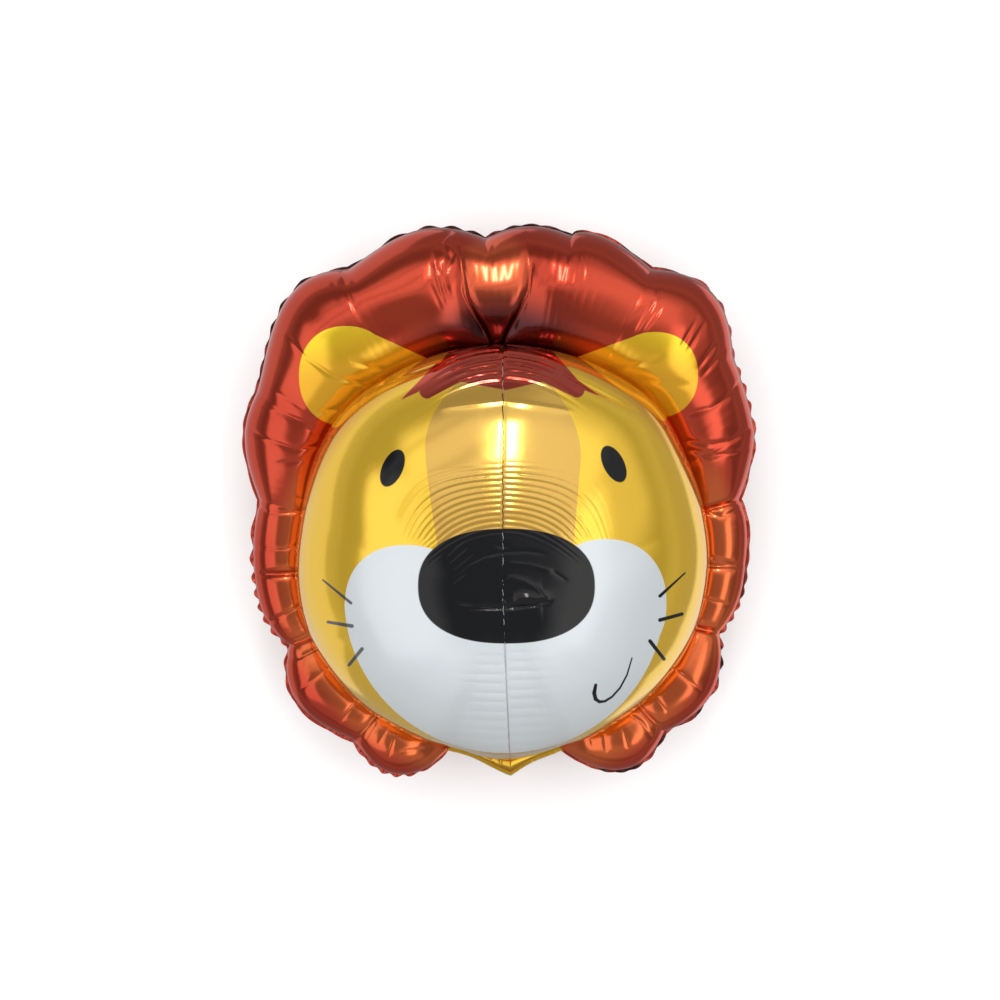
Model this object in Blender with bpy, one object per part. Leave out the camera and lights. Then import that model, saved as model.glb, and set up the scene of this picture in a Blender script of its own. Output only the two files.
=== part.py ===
"""Lion head foil balloon, lying on its back with the face up.

The balloon is one sealed skin, so it is one solid. A narrow welded edge runs
round its outline. A second weld, shaped like a horseshoe and open under the
chin, parts the domed face from the puffed mane, and a third runs upright down
the middle of the face. The ears, eyes, nose and muzzle are only printed.

Units are metres with +Z up. +Y runs to the crown of the head and +X to the
right of a viewer who looks at the face. The origin lies under the middle of
the outline, on the surface that the balloon lies on. Directions round the
face are degrees from the crown, clockwise to that viewer.
"""

import math

import bmesh
import bpy
import numpy as np

# Overall sizes
HEAD_HEIGHT = 0.600
FACE_RISE = 0.200
BACK_DEPTH = 0.115
FLAT_SPOT_RADIUS = 0.070

# The welded edge round the outline
EDGE_WIDTH = 0.004
EDGE_THICKNESS = 0.0012

# The mane: how round its tube is, and how far up the tube the face meets it
MANE_ROUNDNESS = 1.08
BACK_ROUNDNESS = 0.85
MEETING_SHARE = 0.55
LEAST_MANE_WIDTH = 0.003
PINCH_DEPTH = 0.32
FOLD_DEPTH = 0.18
VALLEY_HALF_ANGLE = 3.6

# The face: how far it overhangs the weld at its foot, as a share of its width,
# how high it is widest, in overhangs, how full its dome is (2 is an ellipse),
# and how far above the centre its highest point lies, as a share of the height
FACE_OVERHANG = 0.05
WIDEST_LEVEL = 1.95
FACE_FULLNESS = 2.15
FACE_TOP_SHIFT = -0.050

# The upright weld draws the face in by a dip that fades within a reach
MIDDLE_WELD_DIP = 0.007
MIDDLE_WELD_REACH = 0.020

# The plain pillow of the back, shaped like the face
BACK_FULLNESS = 2.2
BACK_TOP_SHIFT = 0.040

# The direction of the chin's tip, where the upright weld ends
CHIN_TIP = 177.8

# Each lobe of the mane's outline starts at a pinch: the pinch's direction, its
# distance from the face's centre as a share of the head's height, how far the
# lobe swells past its chord, as a share too, and how much it leans towards the
# start (under 1) or the end (over 1)
LOBES = (
    (12.0, 0.6015, 0.0157, 0.60),
    (27.0, 0.5934, 0.0397, 1.00),
    (48.0, 0.5602, -0.0015, 0.50),
    (62.0, 0.5153, 0.0037, 0.50),
    (75.5, 0.4435, 0.0058, 0.60),
    (91.0, 0.4417, 0.0060, 1.00),
    (108.5, 0.4165, 0.0275, 1.00),
    (136.5, 0.4282, 0.0465, 1.00),
    (163.0, 0.3555, -0.0078, 1.25),
    (CHIN_TIP, 0.3852, -0.0097, 1.25),
    (196.0, 0.3537, 0.0478, 0.80),
    (219.5, 0.4247, 0.0322, 1.25),
    (248.6, 0.4183, 0.0110, 0.80),
    (267.0, 0.4525, 0.0012, 0.70),
    (284.0, 0.4560, 0.0148, 1.25),
    (304.5, 0.5413, 0.0408, 1.50),
    (332.2, 0.5978, 0.0270, 1.25),
    (357.0, 0.5862, 0.0140, 1.00),
)

# Softer folds across the mane, between the pinches
FOLDS = (
    6.0, 19.0, 40.0, 53.5, 68.0, 83.0, 100.0, 115.0, 122.0, 129.5, 143.0, 150.0, 156.5,
    204.0, 211.0, 226.0, 237.5, 257.0, 275.0, 290.0, 297.0, 310.5, 320.0, 340.5, 350.5,
)

# The edge of the face: direction, and distance from its centre as a share
FACE_EDGE = (
    (0.0, 0.380), (30.0, 0.382), (45.0, 0.384), (60.0, 0.371), (90.0, 0.364),
    (115.0, 0.358), (145.0, 0.345), (163.0, 0.343), (180.0, 0.350), (196.0, 0.341),
    (214.0, 0.346), (232.0, 0.357), (255.0, 0.366), (285.0, 0.365), (312.0, 0.384),
    (330.0, 0.382),
)

# Where the horseshoe weld ends under the chin, and how fast the mane's ends
# close down to nothing there
CHIN_GAP = (163.0, 196.0)
MANE_END_ANGLE = 9.0

# How many rings of faces each stretch of the surface has, from the face's
# highest point to the middle of the back
FACE_RINGS = 10
OVERHANG_RINGS = 2
MANE_RINGS = 7
BACK_RINGS = 6


def outline(direction):
    """Distance from the face's centre to the outer edge, in metres."""
    turned = (direction - LOBES[0][0]) % 360.0
    starts = [(lobe[0] - LOBES[0][0]) % 360.0 for lobe in LOBES]
    index = max(i for i, start in enumerate(starts) if start <= turned)
    start, (_, near, swell, lean) = starts[index], LOBES[index]
    following = (index + 1) % len(LOBES)
    span = (starts[following] or 360.0) - start
    along = (turned - start) / span
    chord = near + (LOBES[following][1] - near) * along
    return HEAD_HEIGHT * (chord + swell * math.sin(math.pi * along**lean))


def smooth_round(table, direction):
    """Value at a direction of a closed table of directions and values, by cubic arcs."""
    places = np.array([row[0] for row in table])
    values = np.array([row[1] for row in table])
    places = np.concatenate([places[-2:] - 360.0, places, places[:2] + 360.0])
    values = np.concatenate([values[-2:], values, values[:2]])
    slopes = np.gradient(values, places)
    i = int(np.searchsorted(places, direction % 360.0, side="right")) - 1
    width = places[i + 1] - places[i]
    t = (direction % 360.0 - places[i]) / width
    rise = values[i + 1] - values[i]
    bend = (slopes[i] * (1.0 - t) + slopes[i + 1] * -t) * width - rise * (1.0 - 2.0 * t)
    return values[i] + rise * t + bend * t * (1.0 - t)


def ease(t):
    """A smooth step from 0 to 1."""
    t = min(max(t, 0.0), 1.0)
    return t * t * (3.0 - 2.0 * t)


def turn_between(first, second):
    """Angle between two directions, 0 to 180 degrees."""
    return abs((first - second + 180.0) % 360.0 - 180.0)


def mane_share(direction):
    """1 where the mane is whole, down to 0 across the gap under the chin."""
    start, end = CHIN_GAP
    middle = (start + end) / 2.0
    past_end = turn_between(direction, middle) - (end - start) / 2.0
    return ease(past_end / MANE_END_ANGLE)


def valley(direction):
    """How deep the mane is pinched or folded at a direction, as a share."""
    pinched = max(
        math.exp(-turn_between(direction, lobe[0]) / VALLEY_HALF_ANGLE) for lobe in LOBES
    )
    folded = max(
        math.exp(-turn_between(direction, fold) / VALLEY_HALF_ANGLE) for fold in FOLDS
    )
    return max(PINCH_DEPTH * pinched, FOLD_DEPTH * folded)


def directions():
    """Every direction that has a line of points: each pinch and fold, and two between."""
    creases = sorted({lobe[0] for lobe in LOBES} | set(FOLDS) | {0.0})
    found = []
    for start, end in zip(creases, creases[1:] + [creases[0] + 360.0]):
        found += [start + (end - start) * share for share in (0.0, 0.27, 0.73)]
    return found


class Slice:
    """The balloon's section along one direction, as distances out and heights."""

    def __init__(self, direction):
        """Work out the slice's sizes from the named sizes."""
        self.direction = direction
        self.rim = outline(direction)
        self.root = self.rim - EDGE_WIDTH
        share = mane_share(direction)
        edge = HEAD_HEIGHT * smooth_round(FACE_EDGE, direction)
        self.face_edge = min(edge, self.root - LEAST_MANE_WIDTH)
        self.foot = self.face_edge * (1.0 - FACE_OVERHANG * share)
        self.tube = (self.root - self.foot) / (1.0 + math.sqrt(1.0 - MEETING_SHARE**2))
        self.fullness = 1.0 - valley(direction) * share
        self.mane_rise = MANE_ROUNDNESS * self.tube
        self.mane_drop = BACK_ROUNDNESS * self.tube

    def face(self):
        """Points from the face's highest point to its foot, with the point itself left out."""
        foot = self.mane_rise * MEETING_SHARE
        level = foot + WIDEST_LEVEL * (self.face_edge - self.foot)
        points = []
        for i in range(1, FACE_RINGS + 1):
            angle = math.pi / 2.0 * i / FACE_RINGS
            out = self.face_edge * math.sin(angle) ** (2.0 / FACE_FULLNESS)
            up = (FACE_RISE - level) * math.cos(angle) ** (2.0 / FACE_FULLNESS)
            points.append((out, level + max(up, 0.0)))
        for i in range(1, OVERHANG_RINGS + 1):
            angle = math.pi / 2.0 * i / OVERHANG_RINGS
            out = self.foot + (self.face_edge - self.foot) * math.cos(angle)
            points.append((out, foot + (level - foot) * (1.0 - math.sin(angle))))
        return points

    def mane(self, rise):
        """Points over the mane's tube, from near the weld at its foot to near the outer edge."""
        end = math.pi - math.asin(MEETING_SHARE)
        points = []
        for i in range(1, MANE_RINGS):
            angle = end * (1.0 - i / MANE_RINGS)
            out = self.root - self.tube * (1.0 - math.cos(angle))
            points.append((out, rise * self.fullness * math.sin(angle)))
        return points

    def edge(self):
        """Points round the thin welded edge."""
        half = EDGE_THICKNESS / 2.0
        return [(self.root, half), (self.rim, half), (self.rim, -half), (self.root, -half)]

    def back(self):
        """Points from the foot of the back's pillow to the rim of its flat spot."""
        foot = -self.mane_drop * MEETING_SHARE
        points = [(self.foot, foot)]
        for i in range(1, BACK_RINGS):
            angle = math.pi / 2.0 * (1.0 - i / BACK_RINGS)
            round_out = math.sin(angle) ** (2.0 / BACK_FULLNESS)
            out = FLAT_SPOT_RADIUS + (self.foot - FLAT_SPOT_RADIUS) * round_out
            down = (BACK_DEPTH + foot) * math.cos(angle) ** (2.0 / BACK_FULLNESS)
            points.append((out, foot - down))
        points.append((FLAT_SPOT_RADIUS, -BACK_DEPTH))
        return points

    def points(self):
        """The whole section as x, y and z, measured from the face's centre."""
        front = self.face() + self.mane(self.mane_rise)
        rear = self.mane(-self.mane_drop)[::-1] + self.back()
        section = front + self.edge() + rear
        turn = math.radians(self.direction)
        placed = []
        for out, up in section:
            shift = FACE_TOP_SHIFT if up > 0.0 else BACK_TOP_SHIFT
            slide = HEAD_HEIGHT * shift * max(1.0 - (out / self.face_edge) ** 2, 0.0)
            placed.append((out * math.sin(turn), out * math.cos(turn) + slide, up))
        return placed


def drawn_in(x, y, z):
    """A point of the face after the upright weld has drawn it in."""
    lean = math.tan(math.radians(180.0 - CHIN_TIP))
    from_weld = abs(x + min(y, 0.0) * lean)
    dip = MIDDLE_WELD_DIP * math.exp(-from_weld / MIDDLE_WELD_REACH)
    return x, y, z - dip * ease(2.0 * z / FACE_RISE)


def balloon_mesh():
    """The balloon's closed surface, mapped from a sphere's rings and meridians."""
    turns = directions()
    slices = [Slice(turn).points() for turn in turns]
    last = len(slices[0]) + 1
    mesh = bmesh.new()
    bmesh.ops.create_uvsphere(mesh, u_segments=len(turns), v_segments=last, radius=1.0)
    for vertex in mesh.verts:
        x, y, z = vertex.co
        ring = round(math.acos(max(-1.0, min(1.0, z))) / math.pi * last)
        meridian = -round(math.atan2(y, x) / (2.0 * math.pi) * len(turns)) % len(turns)
        if ring == 0:
            vertex.co = drawn_in(0.0, HEAD_HEIGHT * FACE_TOP_SHIFT, FACE_RISE)
        elif ring <= FACE_RINGS:
            vertex.co = drawn_in(*slices[meridian][ring - 1])
        elif ring < last:
            vertex.co = slices[meridian][ring - 1]
        else:
            vertex.co = (0.0, HEAD_HEIGHT * BACK_TOP_SHIFT, -BACK_DEPTH)
    bmesh.ops.recalc_face_normals(mesh, faces=mesh.faces)
    return mesh


def place_on_flat_spot(mesh):
    """Move the mesh so that the origin lies under the middle of its outline."""
    across = [vertex.co.x for vertex in mesh.verts]
    along = [vertex.co.y for vertex in mesh.verts]
    middle = ((min(across) + max(across)) / 2.0, (min(along) + max(along)) / 2.0)
    bmesh.ops.translate(mesh, verts=mesh.verts, vec=(-middle[0], -middle[1], BACK_DEPTH))


def foil_material():
    """Bright metallised film, in the mane's printed orange red."""
    material = bpy.data.materials.new("printed_foil")
    material.use_nodes = True
    shader = material.node_tree.nodes["Principled BSDF"]
    shader.inputs["Base Color"].default_value = (0.62, 0.12, 0.05, 1.0)
    shader.inputs["Metallic"].default_value = 0.9
    shader.inputs["Roughness"].default_value = 0.22
    return material


def build():
    """Make the balloon as one object."""
    for existing in list(bpy.data.objects):
        bpy.data.objects.remove(existing, do_unlink=True)
    surface = balloon_mesh()
    place_on_flat_spot(surface)
    mesh = bpy.data.meshes.new("lion_head_balloon")
    surface.to_mesh(mesh)
    surface.free()
    mesh.shade_smooth()
    mesh.set_sharp_from_angle(angle=math.radians(40.0))
    mesh.materials.append(foil_material())
    balloon = bpy.data.objects.new("lion_head_balloon", mesh)
    bpy.context.scene.collection.objects.link(balloon)


build()
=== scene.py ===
"""Looks of the lion head foil balloon: its creased foil skin, its print and the studio.

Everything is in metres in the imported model's frame. The balloon lies on its back
with the face up, +Y runs to the crown of the head, and +X is the viewer's right.
Directions round the face are degrees from the crown, clockwise to the viewer.
Places on the print and fold lines are in pixels of the 1000 x 1000 photograph,
whose scale at the welded edge is PIXEL metres.
"""

import logging
import math
from dataclasses import dataclass
from typing import Callable, Sequence

import bmesh
import bpy
import numpy as np
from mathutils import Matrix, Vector


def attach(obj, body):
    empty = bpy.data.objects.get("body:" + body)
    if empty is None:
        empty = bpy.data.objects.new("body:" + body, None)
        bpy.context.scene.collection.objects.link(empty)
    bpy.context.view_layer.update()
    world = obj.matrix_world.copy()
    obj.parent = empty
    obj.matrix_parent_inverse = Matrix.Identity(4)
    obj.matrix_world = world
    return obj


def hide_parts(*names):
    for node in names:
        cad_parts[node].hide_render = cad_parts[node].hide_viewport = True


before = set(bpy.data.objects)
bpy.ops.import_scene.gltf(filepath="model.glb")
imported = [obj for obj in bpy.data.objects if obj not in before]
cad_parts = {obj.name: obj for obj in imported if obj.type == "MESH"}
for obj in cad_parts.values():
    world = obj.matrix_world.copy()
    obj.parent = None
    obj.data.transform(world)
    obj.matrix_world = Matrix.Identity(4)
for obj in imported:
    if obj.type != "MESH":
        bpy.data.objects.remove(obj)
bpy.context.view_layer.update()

log = logging.getLogger("lion_head_balloon")

NODE = "lion_head_balloon"
BODY = "root"

PIXEL = 0.600 / 557.0
PHOTO_MIDDLE = (499.5, 500.5)
PHOTO_SIDE = 1000
CAMERA_HEIGHT = 2.30
MILLIMETRE = 0.001
FULL_TURN = 2.0 * math.pi
PRINT_EDGE = 0.45


@dataclass(frozen=True)
class Lobe:
    """One swelling of the mane's outline, from the pinch that it starts at.

    Pinch is how sharp that pinch is, against the usual one.
    """

    direction: float
    distance: float
    swell: float
    lean: float
    pinch: float = 1.0


@dataclass(frozen=True)
class Fold:
    """A straight crease in the foil between two points of the photograph.

    The depth is the crease's, in millimetres, and is negative for a ridge. The
    width is how far to each side it fades.
    """

    start: tuple[float, float]
    end: tuple[float, float]
    depth: float = 2.0
    width: float = 4.0


def folds_of(*rows: tuple[float, ...]) -> tuple[Fold, ...]:
    """Creases from rows of numbers.

    Args:
        rows: Each crease's start and end across and down, its depth and its width.

    Returns:
        The creases.
    """
    return tuple(Fold(row[0:2], row[2:4], row[4], row[5]) for row in rows)


@dataclass(frozen=True)
class Wrinkles:
    """A run of wrinkles across the upright weld, between two levels of the photograph.

    Spacing, gap and reach are in pixels: the gap keeps the weld's own edge
    clear, and the reach is how far out the wrinkles run. Bow is how fast they
    droop outwards, at the first and at the last level. Stagger is how far the two
    sides are out of step, as a share of the spacing, and fade the share of the
    run over which its ends die away.
    """

    first: float
    last: float
    spacing: float
    height: float
    gap: float
    reach: float
    bow: tuple[float, float]
    stagger: float = 0.35
    fade: float = 0.16


@dataclass(frozen=True)
class Swell:
    """A soft rise of the foil: its middle and half sizes in pixels, its height in mm."""

    middle: tuple[float, float]
    half_sizes: tuple[float, float]
    height: float


@dataclass(frozen=True)
class Wedge:
    """The narrow lobe at the crown, which narrows to a tip between its neighbours.

    Levels, widths and the flanks' reach are in pixels of the photograph, and
    heights in millimetres. The valleys fade in over the first levels, from
    before they start, and their deepest part ends a little past the tip.
    """

    tip: tuple[float, float] = (497.0, 350.0)
    lean: float = 0.02
    tip_half_width: float = 4.0
    half_width: float = 33.0
    widens: float = 0.50
    starts: float = 236.0
    deepest: float = 322.0
    valley: tuple[float, float] = (2.5, 11.0)
    bulge: float = 0.72
    flank: float = 15.0
    fade_before: float = 14.0
    fade_length: float = 24.0
    past_tip: float = 6.0
    tip_length: float = 26.0
    least_at_tip: float = 0.25


@dataclass(frozen=True)
class HeadForm:
    """The balloon's form, with its solid's sizes and a slightly fuller face."""

    height: float = 0.600
    face_rise: float = 0.200
    back_depth: float = 0.115
    flat_radius: float = 0.070
    edge_width: float = 0.004
    mane_roundness: float = 1.08
    back_roundness: float = 0.85
    meeting_share: float = 0.55
    least_mane: float = 0.003
    pinch_depth: float = 0.15
    fold_depth: float = 0.10
    valley_angle: float = 0.9
    valley_softness: float = 0.15
    face_overhang: float = 0.05
    widest_level: float = 1.95
    face_fullness: float = 2.28
    back_fullness: float = 2.2
    face_top_shift: float = -0.050
    back_top_shift: float = 0.040
    weld_dip: float = 0.0002
    weld_reach: float = 0.0010
    mane_squareness: float = 2.3
    evening: float = 11.0
    evening_steps: int = 13
    crown_reach: float = 80.0
    crown_fade: float = 20.0
    side_evenness: float = 0.45
    chin_tip: float = 177.8
    chin_gap: tuple[float, float] = (163.0, 196.0)
    mane_end: float = 9.0
    centre: tuple[float, float] = (0.0034, -0.0654)

    lobes: tuple[Lobe, ...] = (
        Lobe(12.0, 0.6015, 0.0157, 0.60, 0.0),
        Lobe(27.0, 0.5934, 0.0397, 1.00, 0.05),
        Lobe(48.0, 0.5602, -0.0015, 0.50, 0.0),
        Lobe(62.0, 0.5153, 0.0037, 0.50, 0.15),
        Lobe(75.5, 0.4435, 0.0058, 0.60),
        Lobe(91.0, 0.4417, 0.0060, 1.00),
        Lobe(108.5, 0.4165, 0.0275, 1.00),
        Lobe(136.5, 0.4282, 0.0465, 1.00, 0.8),
        Lobe(163.0, 0.3555, -0.0078, 1.25),
        Lobe(177.8, 0.3852, -0.0097, 1.25),
        Lobe(196.0, 0.3537, 0.0478, 0.80),
        Lobe(219.5, 0.4247, 0.0322, 1.25, 0.8),
        Lobe(248.6, 0.4183, 0.0110, 0.80),
        Lobe(267.0, 0.4525, 0.0012, 0.70),
        Lobe(284.0, 0.4560, 0.0148, 1.25, 0.2),
        Lobe(304.5, 0.5413, 0.0408, 1.50, 0.08),
        Lobe(332.2, 0.5978, 0.0270, 1.25, 0.0),
        Lobe(357.0, 0.5862, 0.0140, 1.00, 0.0),
    )

    folds: tuple[float, ...] = (
        6.0, 19.0, 40.0, 53.5, 68.0, 83.0, 100.0, 115.0, 122.0, 129.5, 143.0, 150.0, 156.5,
        204.0, 211.0, 226.0, 237.5, 257.0, 275.0, 290.0, 297.0, 310.5, 320.0, 340.5, 350.5,
    )

    face_edges: tuple[tuple[float, float], ...] = (
        (0.0, 0.380), (30.0, 0.382), (45.0, 0.384), (60.0, 0.371), (90.0, 0.364),
        (115.0, 0.358), (145.0, 0.345), (163.0, 0.343), (180.0, 0.350), (196.0, 0.341),
        (214.0, 0.346), (232.0, 0.357), (255.0, 0.366), (285.0, 0.365), (312.0, 0.384),
        (330.0, 0.382),
    )

    def outline(self, direction: np.ndarray) -> np.ndarray:
        """Distance from the face's centre to the balloon's outer edge.

        Args:
            direction: Directions in degrees.

        Returns:
            Distances in metres.
        """
        rows = np.array([(o.direction, o.distance, o.swell, o.lean) for o in self.lobes])
        starts = rows[:, 0] - rows[0, 0]
        turned = (direction - rows[0, 0]) % 360.0
        index = np.searchsorted(starts, turned, side="right") - 1
        following = (index + 1) % len(rows)
        ends = np.where(following == 0, 360.0, starts[following])
        along = (turned - starts[index]) / (ends - starts[index])
        near, far = rows[index, 1], rows[following, 1]
        swell = rows[index, 2] * np.sin(np.pi * along ** rows[index, 3])
        return self.height * (near + (far - near) * along + swell)

    def face_edge(self, direction: np.ndarray) -> np.ndarray:
        """Distance from the face's centre to the widest line of its dome.

        Args:
            direction: Directions in degrees.

        Returns:
            Distances in metres.
        """
        table = np.array(self.face_edges)
        places = np.concatenate([table[-2:, 0] - 360.0, table[:, 0], table[:2, 0] + 360.0])
        values = np.concatenate([table[-2:, 1], table[:, 1], table[:2, 1]])
        slopes = np.gradient(values, places)
        wrapped = direction % 360.0
        i = np.searchsorted(places, wrapped, side="right") - 1
        width = places[i + 1] - places[i]
        t = (wrapped - places[i]) / width
        rise = values[i + 1] - values[i]
        bend = (slopes[i] * (1.0 - t) - slopes[i + 1] * t) * width - rise * (1.0 - 2.0 * t)
        edge = self.height * (values[i] + rise * t + bend * t * (1.0 - t))
        return np.minimum(edge, self.root(direction) - self.least_mane)

    def root(self, direction: np.ndarray) -> np.ndarray:
        """Distance from the face's centre to the inner side of the welded edge."""
        return self.outline(direction) - self.edge_width

    def even_root(self, direction: np.ndarray) -> np.ndarray:
        """The edge's inner side with its scallops evened out, most of all at the crown.

        Args:
            direction: Directions in degrees.

        Returns:
            Distances in metres.
        """
        steps = np.linspace(-self.evening, self.evening, self.evening_steps)
        weights = np.cos(np.radians(steps * 90.0 / self.evening))
        total = sum(w * self.root(direction + step) for step, w in zip(steps, weights))
        crown = ease((self.crown_reach - turn_between(direction, 0.0)) / self.crown_fade)
        share = self.side_evenness + (1.0 - self.side_evenness) * crown
        root = self.root(direction)
        return root + (total / weights.sum() - root) * share * self.mane_share(direction)

    def mane_share(self, direction: np.ndarray) -> np.ndarray:
        """How much of the mane there is.

        Args:
            direction: Directions in degrees.

        Returns:
            1 where the mane is whole, down to 0 across the gap under the chin.
        """
        start, end = self.chin_gap
        from_middle = turn_between(direction, (start + end) / 2.0)
        return ease((from_middle - (end - start) / 2.0) / self.mane_end)

    def foot(self, direction: np.ndarray) -> np.ndarray:
        """Distance from the face's centre to the weld between face and mane."""
        share = self.mane_share(direction)
        return self.face_edge(direction) * (1.0 - self.face_overhang * share)

    def tube(self, direction: np.ndarray) -> np.ndarray:
        """Half the width of the mane's tube."""
        inner = self.squared(math.sqrt(1.0 - self.meeting_sine**2))
        return (self.even_root(direction) - self.foot(direction)) / (1.0 + inner)

    def squared(self, value: float | np.ndarray) -> float | np.ndarray:
        """A sine or cosine as the tube's slightly square section has it."""
        return np.sign(value) * np.abs(value) ** (2.0 / self.mane_squareness)

    @property
    def meeting_sine(self) -> float:
        """Sine of the angle in the tube's section where it meets the face."""
        return self.meeting_share ** (self.mane_squareness / 2.0)

    def fullness(self, direction: np.ndarray, back: bool) -> np.ndarray:
        """How full the mane's tube is, as a share.

        Args:
            direction: Directions in degrees.
            back: Whether the folds of the back are wanted along with the pinches.

        Returns:
            1 where the tube is full, and less at its pinches and folds.
        """
        soft = self.valley_softness
        valley = np.zeros_like(direction)
        places = [(lobe.direction, self.pinch_depth * lobe.pinch) for lobe in self.lobes]
        if back:
            places += [(fold, self.fold_depth) for fold in self.folds]
        for place, depth in places:
            turn = np.sqrt(turn_between(direction, place) ** 2 + soft**2) - soft
            valley = np.maximum(valley, depth * np.exp(-turn / self.valley_angle))
        return 1.0 - valley * self.mane_share(direction)

    def place(self, direction: np.ndarray, out: np.ndarray, up: np.ndarray) -> np.ndarray:
        """Points of the surface in the model's frame.

        Args:
            direction: Directions in degrees.
            out: Distances from the face's centre, before the top's shift.
            up: Heights above the welded edge.

        Returns:
            An array of points, one in each row.
        """
        turn = np.radians(direction)
        shift = np.where(up > 0.0, self.face_top_shift, self.back_top_shift)
        inside = np.maximum(1.0 - (out / self.face_edge(direction)) ** 2, 0.0)
        x = out * np.sin(turn) + self.centre[0]
        y = out * np.cos(turn) + self.centre[1] + self.height * shift * inside
        return np.stack([x, y, up + self.back_depth], axis=1)

    def drawn_in(self, points: np.ndarray) -> np.ndarray:
        """Points of the face after the upright weld has drawn them in.

        Args:
            points: Points of the dome, one in each row.

        Returns:
            The points, lower near the weld.
        """
        lean = math.tan(math.radians(180.0 - self.chin_tip))
        x = points[:, 0] - self.centre[0]
        y = points[:, 1] - self.centre[1]
        z = points[:, 2] - self.back_depth
        off = np.abs(x + np.minimum(y, 0.0) * lean)
        dip = self.weld_dip * np.exp(-off / self.weld_reach) * ease(2.0 * z / self.face_rise)
        lowered = points.copy()
        lowered[:, 2] -= dip
        return lowered

    def weld_x(self, y: np.ndarray) -> np.ndarray:
        """Where the upright weld runs at a height up the face, across the head."""
        lean = math.tan(math.radians(180.0 - self.chin_tip))
        return self.centre[0] - np.minimum(y - self.centre[1], 0.0) * lean


def ease(t: np.ndarray) -> np.ndarray:
    """A smooth step from 0 to 1."""
    t = np.clip(t, 0.0, 1.0)
    return t * t * (3.0 - 2.0 * t)


def turn_between(first: np.ndarray, second: float) -> np.ndarray:
    """Angles between directions, 0 to 180 degrees."""
    return np.abs((first - second + 180.0) % 360.0 - 180.0)


def photo_place(points: np.ndarray, form: HeadForm) -> np.ndarray:
    """Where points of the model show in the photograph.

    Args:
        points: Points in the model's frame, one in each row.
        form: The balloon's form, for the level of its welded edge.

    Returns:
        Pixel coordinates, across and down, one pair in each row.
    """
    nearer = CAMERA_HEIGHT / (CAMERA_HEIGHT - (points[:, 2] - form.back_depth)) / PIXEL
    return np.stack(
        [PHOTO_MIDDLE[0] + points[:, 0] * nearer, PHOTO_MIDDLE[1] - points[:, 1] * nearer],
        axis=1,
    )


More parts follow.
